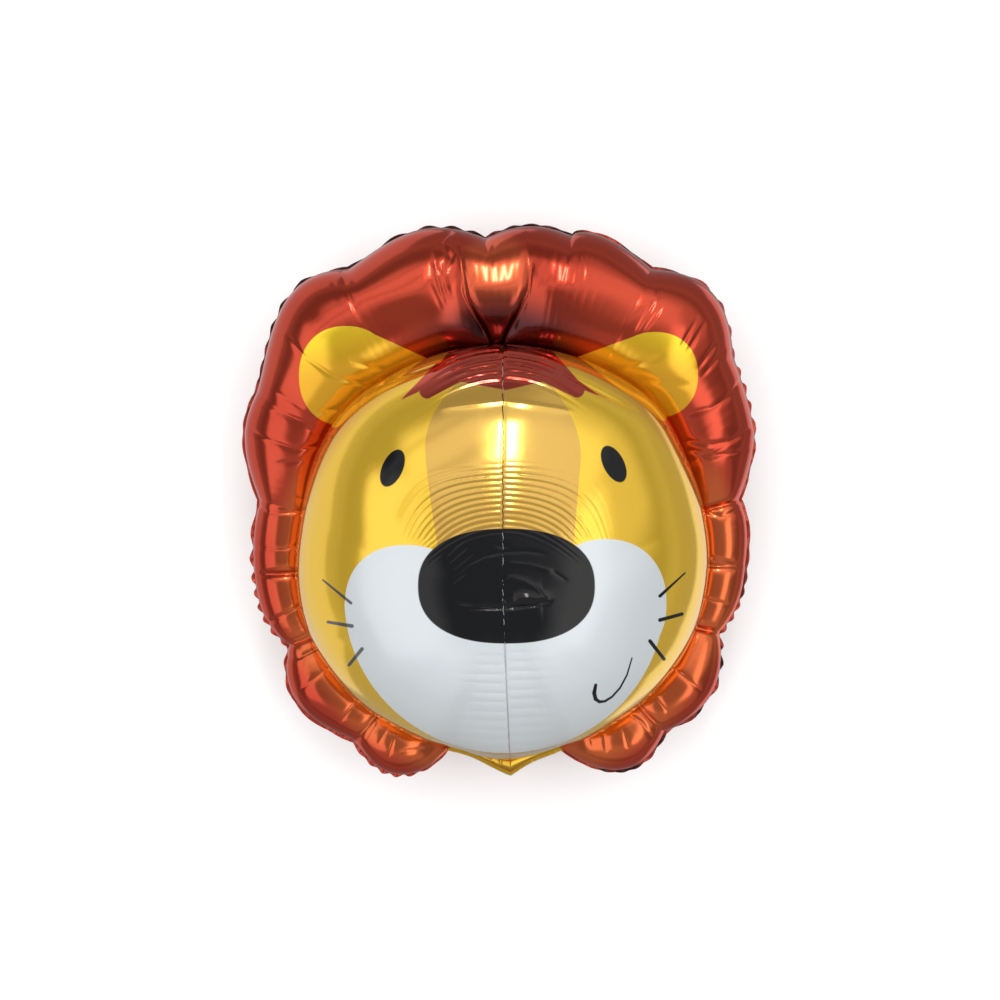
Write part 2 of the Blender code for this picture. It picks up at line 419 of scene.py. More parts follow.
class Relief:
    """Adds up how far the foil stands out from its smooth form, in metres."""

    def __init__(self, points: np.ndarray, form: HeadForm, seed: int) -> None:
        """Start with no relief.

        Args:
            points: Points of the smooth form.
            form: The balloon's form.
            seed: Start of the random draws.
        """
        self.points = points
        self.pixels = photo_place(points, form)
        self.form = form
        self.draw = np.random.default_rng(seed)
        self.height = np.zeros(len(points))

    def folds(self, folds: Sequence[Fold], softness: float = 0.5) -> None:
        """Add creases that lie along lines of the photograph.

        Args:
            folds: The creases.
            softness: How far round a crease's sharp line is, in millimetres.
        """
        for fold in folds:
            start = np.array(fold.start)
            along = np.array(fold.end) - start
            length = float(np.hypot(*along))
            offset = self.pixels - start
            t = offset @ along / length**2
            nearest = np.clip(t, 0.0, 1.0)[:, None] * along
            gap = np.linalg.norm(offset - nearest, axis=1) * PIXEL / MILLIMETRE
            fade = 0.35 + 0.65 * np.sin(np.pi * np.clip(t, 0.0, 1.0)) ** 0.5
            sharp = np.exp(-(np.sqrt(gap**2 + softness**2) - softness) / fold.width)
            self.height -= fold.depth * MILLIMETRE * sharp * fade

    def swells(self, swells: Sequence[Swell]) -> None:
        """Add soft rises.

        Args:
            swells: The rises.
        """
        for swell in swells:
            off = (self.pixels - np.array(swell.middle)) / np.array(swell.half_sizes)
            self.height += swell.height * MILLIMETRE * np.exp(-(off**2).sum(axis=1))

    def wedge(self, wedge: Wedge) -> None:
        """Raise the crown's narrow lobe between two valleys that meet at its tip.

        Args:
            wedge: The lobe.
        """
        across, down = self.pixels[:, 0], self.pixels[:, 1]
        rise = np.maximum(wedge.tip[1] - down, 0.0)
        off = across - wedge.tip[0] + wedge.lean * rise
        half = np.minimum(wedge.tip_half_width + wedge.widens * rise, wedge.half_width)
        share = np.abs(off) / half
        top, low = wedge.valley
        deeper = ease((down - wedge.starts) / (wedge.deepest - wedge.starts))
        valley = top + (low - top) * deeper
        valley *= ease((down - wedge.starts + wedge.fade_before) / wedge.fade_length)
        to_tip = ease((wedge.tip[1] + wedge.past_tip - down) / wedge.tip_length)
        valley *= wedge.least_at_tip + (1.0 - wedge.least_at_tip) * to_tip
        dome = wedge.bulge * np.maximum(1.0 - share**6, 0.0)
        outside = np.exp(-np.maximum(np.abs(off) - half, 0.0) / wedge.flank)
        shape = np.where(share < 1.0, 1.0 - dome, outside)
        self.height -= valley * shape * MILLIMETRE

    def wrinkles(self, runs: Sequence[Wrinkles]) -> None:
        """Add wrinkles across the upright weld.

        Args:
            runs: The runs of wrinkles.
        """
        weld = PHOTO_MIDDLE[0] + self.form.weld_x(self.points[:, 1]) / PIXEL
        across = self.pixels[:, 0] - weld
        down = self.pixels[:, 1]
        for run in runs:
            level = (down - run.first) / (run.last - run.first)
            bow = run.bow[0] + (run.bow[1] - run.bow[0]) * np.clip(level, 0.0, 1.0)
            straight = down - bow * across**2 + run.spacing * run.stagger * (across > 0.0)
            level = (straight - run.first) / (run.last - run.first)
            phase = (straight - run.first) / run.spacing
            count = int(math.ceil((run.last - run.first) / run.spacing)) + 3
            uneven = self.draw.uniform(0.45, 1.0, count)
            far = self.draw.uniform(0.7, 1.1, count)
            index = np.clip(np.floor(phase).astype(int) + 1, 0, count - 1)
            ends = ease((level + 0.04) / run.fade) * ease((1.04 - level) / run.fade)
            out = np.abs(across)
            sides = ease((out - run.gap * 0.3) / max(run.gap, 1.0))
            sides *= np.exp(-((out / (run.reach * far[index])) ** 4))
            wave = np.abs(np.sin(np.pi * phase)) ** 0.8 - 0.6
            self.height += run.height * MILLIMETRE * uneven[index] * wave * ends * sides

    def puckers(
        self,
        direction: np.ndarray,
        distance: np.ndarray,
        count: int,
        depth: float,
        width: float,
        reach: float,
    ) -> None:
        """Add random gathers that run out from a weld.

        Args:
            direction: Each point's direction in degrees.
            distance: Each point's distance from the weld along the foil, in metres.
            count: How many gathers there are round the head.
            depth: The deepest gather, in millimetres.
            width: The widest gather, in degrees.
            reach: How far the longest gather runs, in millimetres.
        """
        places = (np.arange(count) + self.draw.uniform(-0.35, 0.35, count)) * 360.0 / count
        depths = depth * MILLIMETRE * self.draw.uniform(0.2, 1.0, count) ** 1.5
        widths = width * self.draw.uniform(0.4, 1.0, count)
        reaches = reach * MILLIMETRE * self.draw.uniform(0.35, 1.0, count)
        slants = self.draw.uniform(-40.0, 40.0, count)
        near = distance < 3.0 * reach * MILLIMETRE
        turns, gaps = direction[near], distance[near]
        total = np.zeros(len(turns))
        for place, deep, wide, far, slant in zip(places, depths, widths, reaches, slants):
            off = turn_between(turns + slant * gaps, place)
            total -= deep * np.exp(-off / wide) * np.exp(-gaps / far)
        self.height[near] += total

    def sway(self, height: float, wavelength: float, count: int = 14) -> None:
        """Add smooth, slow unevenness.

        Args:
            height: About how far it stands out, in millimetres.
            wavelength: The shortest wave, in millimetres.
            count: How many waves are added up.
        """
        for _ in range(count):
            way = self.draw.normal(size=3)
            way /= np.linalg.norm(way)
            wave = wavelength * MILLIMETRE * self.draw.uniform(1.0, 2.2)
            phase = self.points @ way * (FULL_TURN / wave) + self.draw.uniform(0.0, 6.28)
            self.height += height * MILLIMETRE / math.sqrt(count) * np.sin(phase)


def mesh_points(mesh: bmesh.types.BMesh) -> np.ndarray:
    """The bmesh's points, one in each row."""
    return np.array([vertex.co[:] for vertex in mesh.verts])


def set_points(mesh: bmesh.types.BMesh, points: np.ndarray) -> None:
    """Move the bmesh's points."""
    for vertex, point in zip(mesh.verts, points.tolist()):
        vertex.co = point


def raise_relief(mesh: bmesh.types.BMesh, height: np.ndarray) -> None:
    """Move every point along its normal.

    Args:
        mesh: The smooth form.
        height: How far each point moves outwards, in metres.
    """
    bmesh.ops.recalc_face_normals(mesh, faces=mesh.faces)
    mesh.normal_update()
    normals = np.array([vertex.normal[:] for vertex in mesh.verts])
    set_points(mesh, mesh_points(mesh) + normals * height[:, None])


def finish_piece(mesh: bmesh.types.BMesh, name: str, material: bpy.types.Material) -> None:
    """Turn a bmesh into a piece of the balloon.

    Args:
        mesh: The piece's faces, in the model's frame. It is freed.
        name: The piece's name.
        material: Its finish.
    """
    bmesh.ops.recalc_face_normals(mesh, faces=mesh.faces)
    data = bpy.data.meshes.new(name)
    mesh.to_mesh(data)
    mesh.free()
    data.shade_smooth()
    data.materials.append(material)
    piece = bpy.data.objects.new(name, data)
    bpy.context.scene.collection.objects.link(piece)
    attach(piece, BODY)
    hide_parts(NODE)
    log.info("%s: %d faces", name, len(data.polygons))


def rolled_grid(
    around: int, across: int, roll: Callable[[np.ndarray, np.ndarray], np.ndarray]
) -> tuple[bmesh.types.BMesh, np.ndarray]:
    """A grid rolled up into a closed surface, with its rims joined.

    Args:
        around: Faces round the head.
        across: Faces the other way.
        roll: Gives points from the turn round the head, in radians, and the share
            of the way across.

    Returns:
        The bmesh and its points.
    """
    mesh = bmesh.new()
    bmesh.ops.create_grid(mesh, x_segments=around, y_segments=across, size=0.5)
    flat = mesh_points(mesh) + 0.5
    set_points(mesh, roll(flat[:, 0] * FULL_TURN, flat[:, 1]))
    rims = [vertex for vertex in mesh.verts if vertex.is_boundary]
    bmesh.ops.remove_doubles(mesh, verts=rims, dist=1e-5)
    return mesh, mesh_points(mesh)


def heading(points: np.ndarray, around: int) -> np.ndarray:
    """Directions of points in degrees, on the nearest of evenly spaced lines.

    Args:
        points: The points.
        around: How many lines there are.

    Returns:
        Directions from 0 to 360.
    """
    turns = np.arctan2(points[:, 0], points[:, 1]) / FULL_TURN
    return np.rint(turns * around) % around * 360.0 / around


def ring_tube(around: int, section: int) -> tuple[bmesh.types.BMesh, np.ndarray, np.ndarray]:
    """A ring-shaped tube with its points' places round the ring and the section.

    Args:
        around: Points round the ring.
        section: Points round the tube's section.

    Returns:
        The bmesh, each point's direction in degrees, and its number round the
        section, from 0 at the outermost line over the top.
    """

    def roll(turn: np.ndarray, share: np.ndarray) -> np.ndarray:
        """Points of a ring of radius 1.

        Args:
            turn: The turn round the ring, in radians.
            share: The share of the way round the section.

        Returns:
            The points, one in each row.
        """
        angle = share * FULL_TURN
        out = 1.0 + 0.25 * np.cos(angle)
        return np.stack([out * np.sin(turn), out * np.cos(turn), 0.25 * np.sin(angle)], axis=1)

    mesh, points = rolled_grid(around, section, roll)
    out = np.hypot(points[:, 0], points[:, 1]) - 1.0
    turns = np.arctan2(points[:, 2], out) / FULL_TURN
    return mesh, heading(points, around), np.rint(turns * section).astype(int) % section


def globe(around: int, rings: int) -> tuple[bmesh.types.BMesh, np.ndarray, np.ndarray]:
    """A sphere with its points' places round it and down from its pole.

    Args:
        around: Points round each ring.
        rings: Steps from pole to pole.

    Returns:
        The bmesh, each point's direction in degrees, and its ring's number.
    """

    def roll(turn: np.ndarray, share: np.ndarray) -> np.ndarray:
        """Points of a sphere of radius 1.

        Args:
            turn: The turn round the sphere, in radians.
            share: The share of the way from pole to pole.

        Returns:
            The points, one in each row.
        """
        angle = share * math.pi
        out = np.sin(angle)
        return np.stack([out * np.sin(turn), out * np.cos(turn), np.cos(angle)], axis=1)

    mesh, points = rolled_grid(around, rings, roll)
    down = np.arctan2(np.hypot(points[:, 0], points[:, 1]), points[:, 2]) / math.pi
    return mesh, heading(points, around), np.rint(down * rings).astype(int)


@dataclass(frozen=True)
class FaceDome:
    """The domed face, welded to the mane round its foot and drawn in down its middle."""

    form: HeadForm
    around: int = 372
    dome_rings: int = 240
    overhang_rings: int = 12
    closing_rings: int = 4
    fine_zone: tuple[float, float] = (0.0, 0.145)
    fine_gain: float = 1.1
    fine_fade: float = 0.02
    ring_gap: float = 0.0013
    closing_drop: float = 0.010
    wrinkles: tuple[Wrinkles, ...] = (
        Wrinkles(342.0, 386.0, 8.0, 3.0, 1.5, 60.0, (0.0040, 0.0046)),
        Wrinkles(464.0, 538.0, 5.7, 0.8, 2.0, 92.0, (0.0010, 0.0058)),
        Wrinkles(600.0, 612.0, 9.0, 1.2, 2.0, 44.0, (0.0004, 0.0)),
        Wrinkles(646.0, 752.0, 9.4, 0.75, 3.0, 44.0, (-0.0002, -0.0014)),
        Wrinkles(752.0, 776.0, 6.0, 0.9, 2.0, 22.0, (0.0, 0.0)),
    )
    folds: tuple[Fold, ...] = folds_of(
        (444, 408, 504, 401, -1.2, 2.2), (504, 401, 570, 411, -1.2, 2.2),
        (381, 382, 440, 362, 3.0, 4.0), (560, 371, 640, 412, 2.5, 4.0), (456, 603, 480, 606, 0.8, 1.6),
        (480, 606, 506, 608, 1.6, 2.0), (506, 608, 530, 606, 2.2, 2.2), (530, 606, 550, 601, 1.4, 1.6),
        (508, 577, 524, 581, -1.1, 2.4), (524, 581, 536, 588, -1.3, 2.6),
        (536, 588, 546, 599, -1.0, 2.0), (455, 577, 468, 564, 0.5, 1.4), (468, 564, 484, 556, 0.6, 1.4),
        (484, 556, 503, 552, 0.7, 1.4), (503, 552, 526, 551, 0.6, 1.4), (526, 551, 546, 554, 0.4, 1.4),
        (508, 563, 530, 565, -0.5, 1.6), (530, 565, 552, 571, -0.6, 1.6),
        (552, 571, 566, 580, 0.4, 1.4), (452, 570, 474, 552, 0.5, 1.2), (448, 563, 468, 546, 0.4, 1.2),
        (446, 555, 464, 540, 0.4, 1.2), (450, 584, 470, 570, 0.4, 1.2), (498, 612, 514, 618, 0.4, 1.4),
        (497, 546, 509, 547, 0.6, 1.4), (514, 598, 542, 597, -3.8, 7.0),
    )

    def dome_angle(self, ring: np.ndarray) -> np.ndarray:
        """How far down the dome its rings lie, closest where its wrinkles are finest.

        Args:
            ring: Ring numbers from the top.

        Returns:
            Angles from the top, up to a quarter turn.
        """
        angle = np.linspace(0.0, math.pi / 2.0, 400)
        out = 0.36 * self.form.height * np.sin(angle)
        start, end = self.fine_zone
        fine = ease((out - start) / self.fine_fade + 1.0) * ease((end - out) / self.fine_fade)
        weight = 1.0 + self.fine_gain * fine
        share = np.concatenate([[0.0], np.cumsum((weight[1:] + weight[:-1]) / 2.0)])
        return np.interp(ring / self.dome_rings, share / share[-1], angle)

    def smooth_points(self, direction: np.ndarray, ring: np.ndarray) -> np.ndarray:
        """Points of the dome without its relief.

        Args:
            direction: Directions in degrees.
            ring: Ring numbers from the top.

        Returns:
            Points in the model's frame.
        """
        form = self.form
        tube = form.tube(direction)
        edge, foot = form.face_edge(direction), form.foot(direction)
        foot_up = form.mane_roundness * tube * form.meeting_share
        level = foot_up + form.widest_level * (edge - foot)
        angle = self.dome_angle(ring)
        round_out = np.sin(angle) ** (2.0 / form.face_fullness)
        round_up = np.maximum(np.cos(angle), 0.0) ** (2.0 / form.face_fullness)
        out, up = edge * round_out, level + (form.face_rise - level) * round_up
        over = (ring - self.dome_rings) / self.overhang_rings
        angle = np.clip(over, 0.0, 1.0) * math.pi / 2.0
        below = over > 0.0
        out = np.where(below, foot + (edge - foot) * np.cos(angle), out)
        up = np.where(below, foot_up + (level - foot_up) * (1.0 - np.sin(angle)), up)
        hidden = ring - self.dome_rings - self.overhang_rings
        share = np.clip(hidden / self.closing_rings, 0.0, 1.0)
        closing = hidden > 0
        out = np.where(closing, foot * (1.0 - share), out)
        up = np.where(closing, foot_up - self.closing_drop, up)
        points = form.place(direction, out, up)
        return np.where(closing[:, None], points, form.drawn_in(points))

    def build(self, material: bpy.types.Material) -> None:
        """Build the face.

        Args:
            material: The face's print.
        """
        rings = self.dome_rings + self.overhang_rings + self.closing_rings
        mesh, direction, ring = globe(self.around, rings)
        points = self.smooth_points(direction, ring)
        set_points(mesh, points)
        relief = Relief(points, self.form, seed=3)
        from_foot = np.maximum((self.dome_rings + self.overhang_rings - ring) * self.ring_gap, 0.0)
        relief.wrinkles(self.wrinkles)
        relief.folds(self.folds)
        relief.puckers(direction, from_foot, count=90, depth=0.5, width=0.9, reach=8.0)
        relief.sway(height=0.25, wavelength=130.0)
        shown = ease((self.dome_rings + self.overhang_rings - ring) / 4.0)
        raise_relief(mesh, relief.height * shown)
        finish_piece(mesh, "face_dome", material)


@dataclass(frozen=True)
class ManeTube:
    """The puffed ring of the mane, from the face's weld over to the balloon's edge."""

    form: HeadForm
    around: int = 1200
    front_steps: int = 54
    inner_steps: int = 3
    back_steps: int = 24
    foot_zone: float = 0.20
    rim_zone: float = 0.65
    wrapped_share: float = 0.8
    slimmest: float = 0.012
    folds: tuple[Fold, ...] = folds_of(
        (342, 270, 346, 290, 1.3, 1.7), (346, 290, 359, 318, 1.1, 1.7), (333, 282, 341, 306, 0.5, 1.5),
        (452, 229, 434, 246, 1.9, 1.5), (434, 246, 436, 272, 1.3, 1.5), (436, 272, 443, 298, 1.9, 1.5),
        (457, 246, 446, 268, 1.9, 1.5), (446, 268, 447, 296, 1.1, 1.5), (442, 252, 446, 264, -0.8, 1.7),
        (438, 236, 452, 258, 1.4, 1.3), (433, 262, 447, 282, 1.3, 1.3), (440, 278, 453, 296, 1.2, 1.3),
        (450, 230, 458, 250, 1.3, 1.3), (430, 284, 440, 304, 0.9, 1.3), (459, 240, 462, 268, 2.2, 1.4),
        (462, 268, 468, 300, 1.8, 1.4), (532, 262, 529, 284, 1.8, 1.4), (529, 284, 520, 306, 1.6, 1.4),
        (484, 236, 487, 258, 0.8, 1.5), (494, 240, 491, 264, 0.6, 1.4), (288, 336, 303, 356, 1.2, 1.7),
        (303, 356, 332, 376, 1.2, 1.7), (332, 376, 370, 386, 1.3, 2.0), (350, 361, 388, 371, 1.0, 2.0),
        (383, 380, 440, 362, 1.3, 2.2), (310, 414, 346, 408, 1.0, 1.8), (578, 238, 579, 284, 0.5, 1.2),
        (582, 236, 584, 282, 0.5, 1.2), (543, 234, 548, 254, 0.5, 1.5), (659, 282, 658, 300, 0.8, 1.5),
        (655, 300, 636, 332, 1.5, 1.2), (661, 308, 645, 331, 1.3, 1.2), (697, 318, 682, 346, 1.4, 1.2),
        (704, 324, 690, 348, 1.5, 1.2), (716, 344, 700, 366, 1.3, 1.2), (725, 350, 704, 374, 1.5, 1.2),
        (741, 380, 730, 396, 1.7, 1.4), (730, 396, 712, 408, 1.7, 1.4), (712, 408, 690, 414, 1.3, 1.4),
        (570, 362, 616, 371, 1.0, 2.0), (616, 371, 660, 358, 0.9, 1.7), (640, 380, 690, 386, 0.8, 1.8),
        (600, 366, 650, 396, 1.1, 2.5), (276, 392, 302, 408, 0.8, 1.5), (262, 406, 314, 426, 0.9, 1.7),
        (250, 430, 262, 438, 1.1, 1.5), (262, 438, 296, 450, 1.2, 1.7), (296, 450, 322, 446, 1.2, 1.7),
        (276, 464, 304, 460, 1.0, 1.5), (284, 496, 304, 500, 0.6, 1.4), (256, 504, 266, 513, 1.4, 1.8),
        (266, 513, 303, 512, 1.4, 1.8), (252, 549, 284, 549, 1.1, 1.7), (284, 549, 300, 545, 1.1, 1.7),
        (272, 575, 292, 574, 0.4, 1.4), (264, 625, 280, 617, 1.4, 1.8), (280, 617, 303, 604, 1.4, 1.8),
        (292, 640, 312, 632, 1.0, 1.5), (286, 656, 298, 658, 1.3, 1.8), (298, 658, 322, 646, 1.4, 1.8),
        (300, 690, 322, 672, 1.1, 1.7), (340, 722, 356, 702, 1.3, 1.8), (366, 738, 376, 722, 0.9, 1.4),
        (378, 744, 386, 730, 0.9, 1.4), (388, 758, 394, 738, 1.0, 1.5), (400, 752, 432, 748, 0.9, 1.7),
        (749, 430, 732, 440, 1.7, 1.4), (732, 440, 712, 445, 1.7, 1.4), (712, 445, 688, 441, 1.6, 1.4),
        (748, 450, 714, 456, 1.5, 1.5), (714, 456, 690, 450, 1.5, 1.5), (742, 508, 722, 517, 1.5, 2.0),
        (722, 517, 702, 510, 1.5, 2.0), (736, 566, 708, 556, 1.1, 1.5), (730, 606, 706, 598, 1.1, 1.5),
        (722, 632, 692, 628, 1.5, 2.0), (700, 690, 676, 670, 1.2, 1.5), (671, 724, 668, 712, 1.1, 1.5),
        (668, 712, 658, 698, 1.1, 1.5), (652, 738, 642, 722, 1.1, 1.5), (642, 722, 632, 716, 1.1, 1.5),
        (628, 748, 624, 730, 1.0, 1.5), (606, 752, 604, 734, 1.0, 1.5), (590, 746, 588, 738, 0.8, 1.5),
    )
    swells: tuple[Swell, ...] = (
        Swell((494, 296), (32, 22), 5.0),
        Swell((556, 292), (30, 17), 2.6),
        Swell((420, 300), (40, 16), 1.2),
        Swell((620, 330), (30, 16), 1.2),
    )

    def smooth_points(self, direction: np.ndarray, number: np.ndarray) -> np.ndarray:
        """Points of the tube without its relief.

        Args:
            direction: Directions in degrees.
            number: Each point's number round the section, from the outermost.

        Returns:
            Points in the model's frame.
        """
        form = self.form
        tube, foot = form.tube(direction), form.foot(direction)
        end = math.pi - math.asin(form.meeting_sine)
        total = self.front_steps + self.inner_steps + self.back_steps
        front = number <= self.front_steps
        back = number >= self.front_steps + self.inner_steps
        angle = np.where(front, number / self.front_steps, (total - number) / self.back_steps)
        angle = np.clip(angle, 0.0, 1.0) * end
        rise = np.where(front, form.mane_roundness, -form.back_roundness) * tube
        near_foot = ease((angle / end - 1.0) / self.foot_zone + 1.0)
        full = np.where(back, form.fullness(direction, True), form.fullness(direction, False))
        full = full + (1.0 - full) * near_foot
        outer = ease((np.cos(angle) - 1.0) / self.rim_zone + 1.0)
        root = form.even_root(direction)
        root = root + (form.root(direction) - root) * outer
        out = root - tube * (1.0 - form.squared(np.cos(angle)))
        up = rise * full * form.squared(np.sin(angle))
        inner = ~front & ~back
        across = (number - self.front_steps) / self.inner_steps
        high = form.mane_roundness * tube * form.meeting_share
        low = -form.back_roundness * tube * form.meeting_share
        out = np.where(inner, foot, out)
        up = np.where(inner, high + (low - high) * across, up)
        return form.place(direction, np.maximum(out, foot), up)

    def build(self, material: bpy.types.Material) -> None:
        """Build the mane.

        Args:
            material: The mane's print.
        """
        form = self.form
        section = self.front_steps + self.inner_steps + self.back_steps
        mesh, direction, number = ring_tube(self.around, section)
        points = self.smooth_points(direction, number)
        set_points(mesh, points)
        relief = Relief(points, form, seed=11)
        tube = form.tube(direction)
        front = number <= self.front_steps
        steps = np.where(front, self.front_steps, self.back_steps)
        away = np.where(front, number, section - number)
        reach = math.pi * self.wrapped_share * tube
        from_edge = away / steps * reach
        from_foot = np.maximum(1.0 - away / steps, 0.0) * reach
        inner = (number > self.front_steps) & (number < self.front_steps + self.inner_steps)
        seen = np.where(points[:, 2] >= form.back_depth, 1.0, 0.0)
        relief.folds(self.folds)
        relief.swells(self.swells)
        relief.wedge(Wedge())
        relief.height *= seen
        relief.puckers(direction, from_edge, count=110, depth=0.8, width=0.7, reach=9.0)
        relief.puckers(direction, from_foot, count=60, depth=0.5, width=0.8, reach=6.0)
        relief.sway(height=0.18, wavelength=90.0)
        held = ease(away / 5.0) * ease((steps - away) / 3.0 + 0.25)
        slim = ease(tube / self.slimmest)
        raise_relief(mesh, np.where(inner, 0.0, relief.height * held * slim))
        finish_piece(mesh, "mane_tube", material)


@dataclass(frozen=True)
class BackPillow:
    """The plain swelling of the back, settled on a small flat spot."""

    form: HeadForm
    around: int = 360
    closing_rings: int = 4
    pillow_rings: int = 84
    flat_rings: int = 8
    ring_gap: float = 0.0028

    def build(self, material: bpy.types.Material) -> None:
        """Build the back.

        Args:
            material: The back's foil.
        """
        form = self.form
        rings = self.closing_rings + self.pillow_rings + self.flat_rings
        mesh, direction, ring = globe(self.around, rings)
        tube, foot = form.tube(direction), form.foot(direction)
        foot_down = -form.back_roundness * tube * form.meeting_share
        down = np.clip((ring - self.closing_rings) / self.pillow_rings, 0.0, 1.0)
        angle = (1.0 - down) * math.pi / 2.0
        round_out = np.sin(angle) ** (2.0 / form.back_fullness)
        round_down = np.maximum(np.cos(angle), 0.0) ** (2.0 / form.back_fullness)
        out = form.flat_radius + (foot - form.flat_radius) * round_out
        up = foot_down - (form.back_depth + foot_down) * round_down
        flat = ring - self.closing_rings - self.pillow_rings
        share = np.clip(flat / self.flat_rings, 0.0, 1.0)
        out = np.where(flat > 0, form.flat_radius * (1.0 - share), out)
        hidden = ring < self.closing_rings
        out = np.where(hidden, foot * ring / self.closing_rings, out)
        up = np.where(hidden, foot_down + FaceDome.closing_drop, up)
        points = form.place(direction, out, np.minimum(up, -MILLIMETRE))
        set_points(mesh, points)
        relief = Relief(points, form, seed=23)
        from_foot = np.maximum(ring - self.closing_rings, 0) * self.ring_gap
        relief.puckers(direction, from_foot, count=130, depth=2.2, width=1.3, reach=26.0)
        relief.puckers(direction, from_foot, count=30, depth=1.6, width=3.0, reach=60.0)
        relief.sway(height=0.6, wavelength=90.0)
        held = ease((ring - self.closing_rings) / 3.0) * ease(-flat / 14.0)
        raise_relief(mesh, relief.height * held)
        finish_piece(mesh, "back_pillow", material)


@dataclass(frozen=True)
class WeldedEdge:
    """The thin crimped rim where the front and back sheets are welded together."""

    form: HeadForm
    around: int = 1440
    section: int = 12
    thickness: float = 0.0012
    ripple: float = 0.0016
    ripples: int = 118
    ripple_steps: tuple[float, ...] = (1.0, 0.43, 1.7)
    scallops: int = 74
    scallop_depth: float = 0.0048
    scallop_sharpness: float = 1.4
    scallop_drift: float = 0.9
    uneven_turn: float = 3.77
    chin_ripple: float = 0.2

    def build(self, material: bpy.types.Material) -> None:
        """Build the rim.

        Args:
            material: The weld's foil.
        """
        form = self.form
        mesh, direction, number = ring_tube(self.around, self.section)
        rim, root = form.outline(direction), form.root(direction) - 1.5 * MILLIMETRE
        angle = number / self.section * FULL_TURN
        share = np.clip(0.5 + 0.62 * np.cos(angle), 0.0, 1.0)
        side = np.clip(1.6 * np.sin(angle), -1.0, 1.0)
        draw = np.random.default_rng(31)
        angle_round = np.radians(direction)
        wave = np.zeros_like(direction)
        for step in self.ripple_steps:
            turns = round(self.ripples * step)
            slow = angle_round * draw.integers(3, 9) + draw.uniform(0, 6)
            strength = 0.5 + 0.5 * np.sin(slow)
            wave += strength * np.sin(angle_round * turns + draw.uniform(0.0, 6.28))
        turn = direction / 360.0
        phase = self.scallops * turn + self.scallop_drift * np.sin(turn * FULL_TURN * 7.0)
        notch = 1.0 - np.abs(np.sin(math.pi * phase)) ** self.scallop_sharpness
        uneven = 0.6 + 0.4 * np.sin(turn * FULL_TURN * 5.0 + self.uneven_turn)
        mane = form.mane_share(direction)
        rim = rim - self.scallop_depth * notch * uneven * mane
        wave *= self.chin_ripple + (1.0 - self.chin_ripple) * mane
        up = side * self.thickness / 2.0 + self.ripple * 0.5 * wave * share
        points = form.place(direction, root + (rim - root) * share, np.zeros_like(up))
        points[:, 2] += up
        set_points(mesh, points)
        finish_piece(mesh, "welded_edge", material)


@dataclass(frozen=True)
class MiddleWeld:
    """The low fin of the upright weld down the middle of the face."""

    face: FaceDome
    steps: int = 700
    height: float = 0.0016
    sunk: float = 0.004
    half_thickness: float = 0.0004
    zigzag: float = 0.0005
    bends: float = 0.55
    low_from: float = -0.172
    low_share: float = 0.3
    low_fade: float = 0.02

    def build(self, material: bpy.types.Material) -> None:
        """Build the fin.

        Args:
            material: The weld's foil.
        """
        form = self.face.form
        half = self.steps // 2
        rings = np.linspace(self.face.dome_rings + self.face.overhang_rings * 0.4, 0.0, half)
        down = np.concatenate([rings, rings[-2::-1]])
        direction = np.concatenate([np.zeros(half), np.full(half - 1, form.chin_tip)])
        line = self.face.smooth_points(direction, down)
        mesh = bmesh.new()
        bmesh.ops.create_cube(mesh, size=1.0)
        cuts = len(line) - 2
        long_edges = [
            edge for edge in mesh.edges
            if abs(edge.verts[0].co.y - edge.verts[1].co.y) > 0.5
        ]
        bmesh.ops.subdivide_edges(mesh, edges=long_edges, cuts=cuts, use_grid_fill=True)
        points = mesh_points(mesh)
        station = np.rint((0.5 - points[:, 1]) * (len(line) - 1)).astype(int)
        base = line[np.clip(station, 0, len(line) - 1)]
        higher = ease((base[:, 1] - self.low_from) / self.low_fade)
        height = self.height * (self.low_share + (1.0 - self.low_share) * higher)
        draw = np.random.default_rng(47)
        level = np.arange(len(line))
        bend = np.sin(level * self.bends + 2.0 * np.sin(level * 0.071))
        bend *= draw.uniform(0.4, 1.0, len(line))
        base = base + np.stack(
            [
                np.sign(points[:, 0]) * self.half_thickness
                + np.where(points[:, 2] > 0.0, bend[station] * self.zigzag, 0.0),
                np.zeros(len(points)),
                np.where(points[:, 2] > 0.0, height, -self.sunk),
            ],
            axis=1,
        )
        set_points(mesh, base)
        finish_piece(mesh, "middle_weld", material)


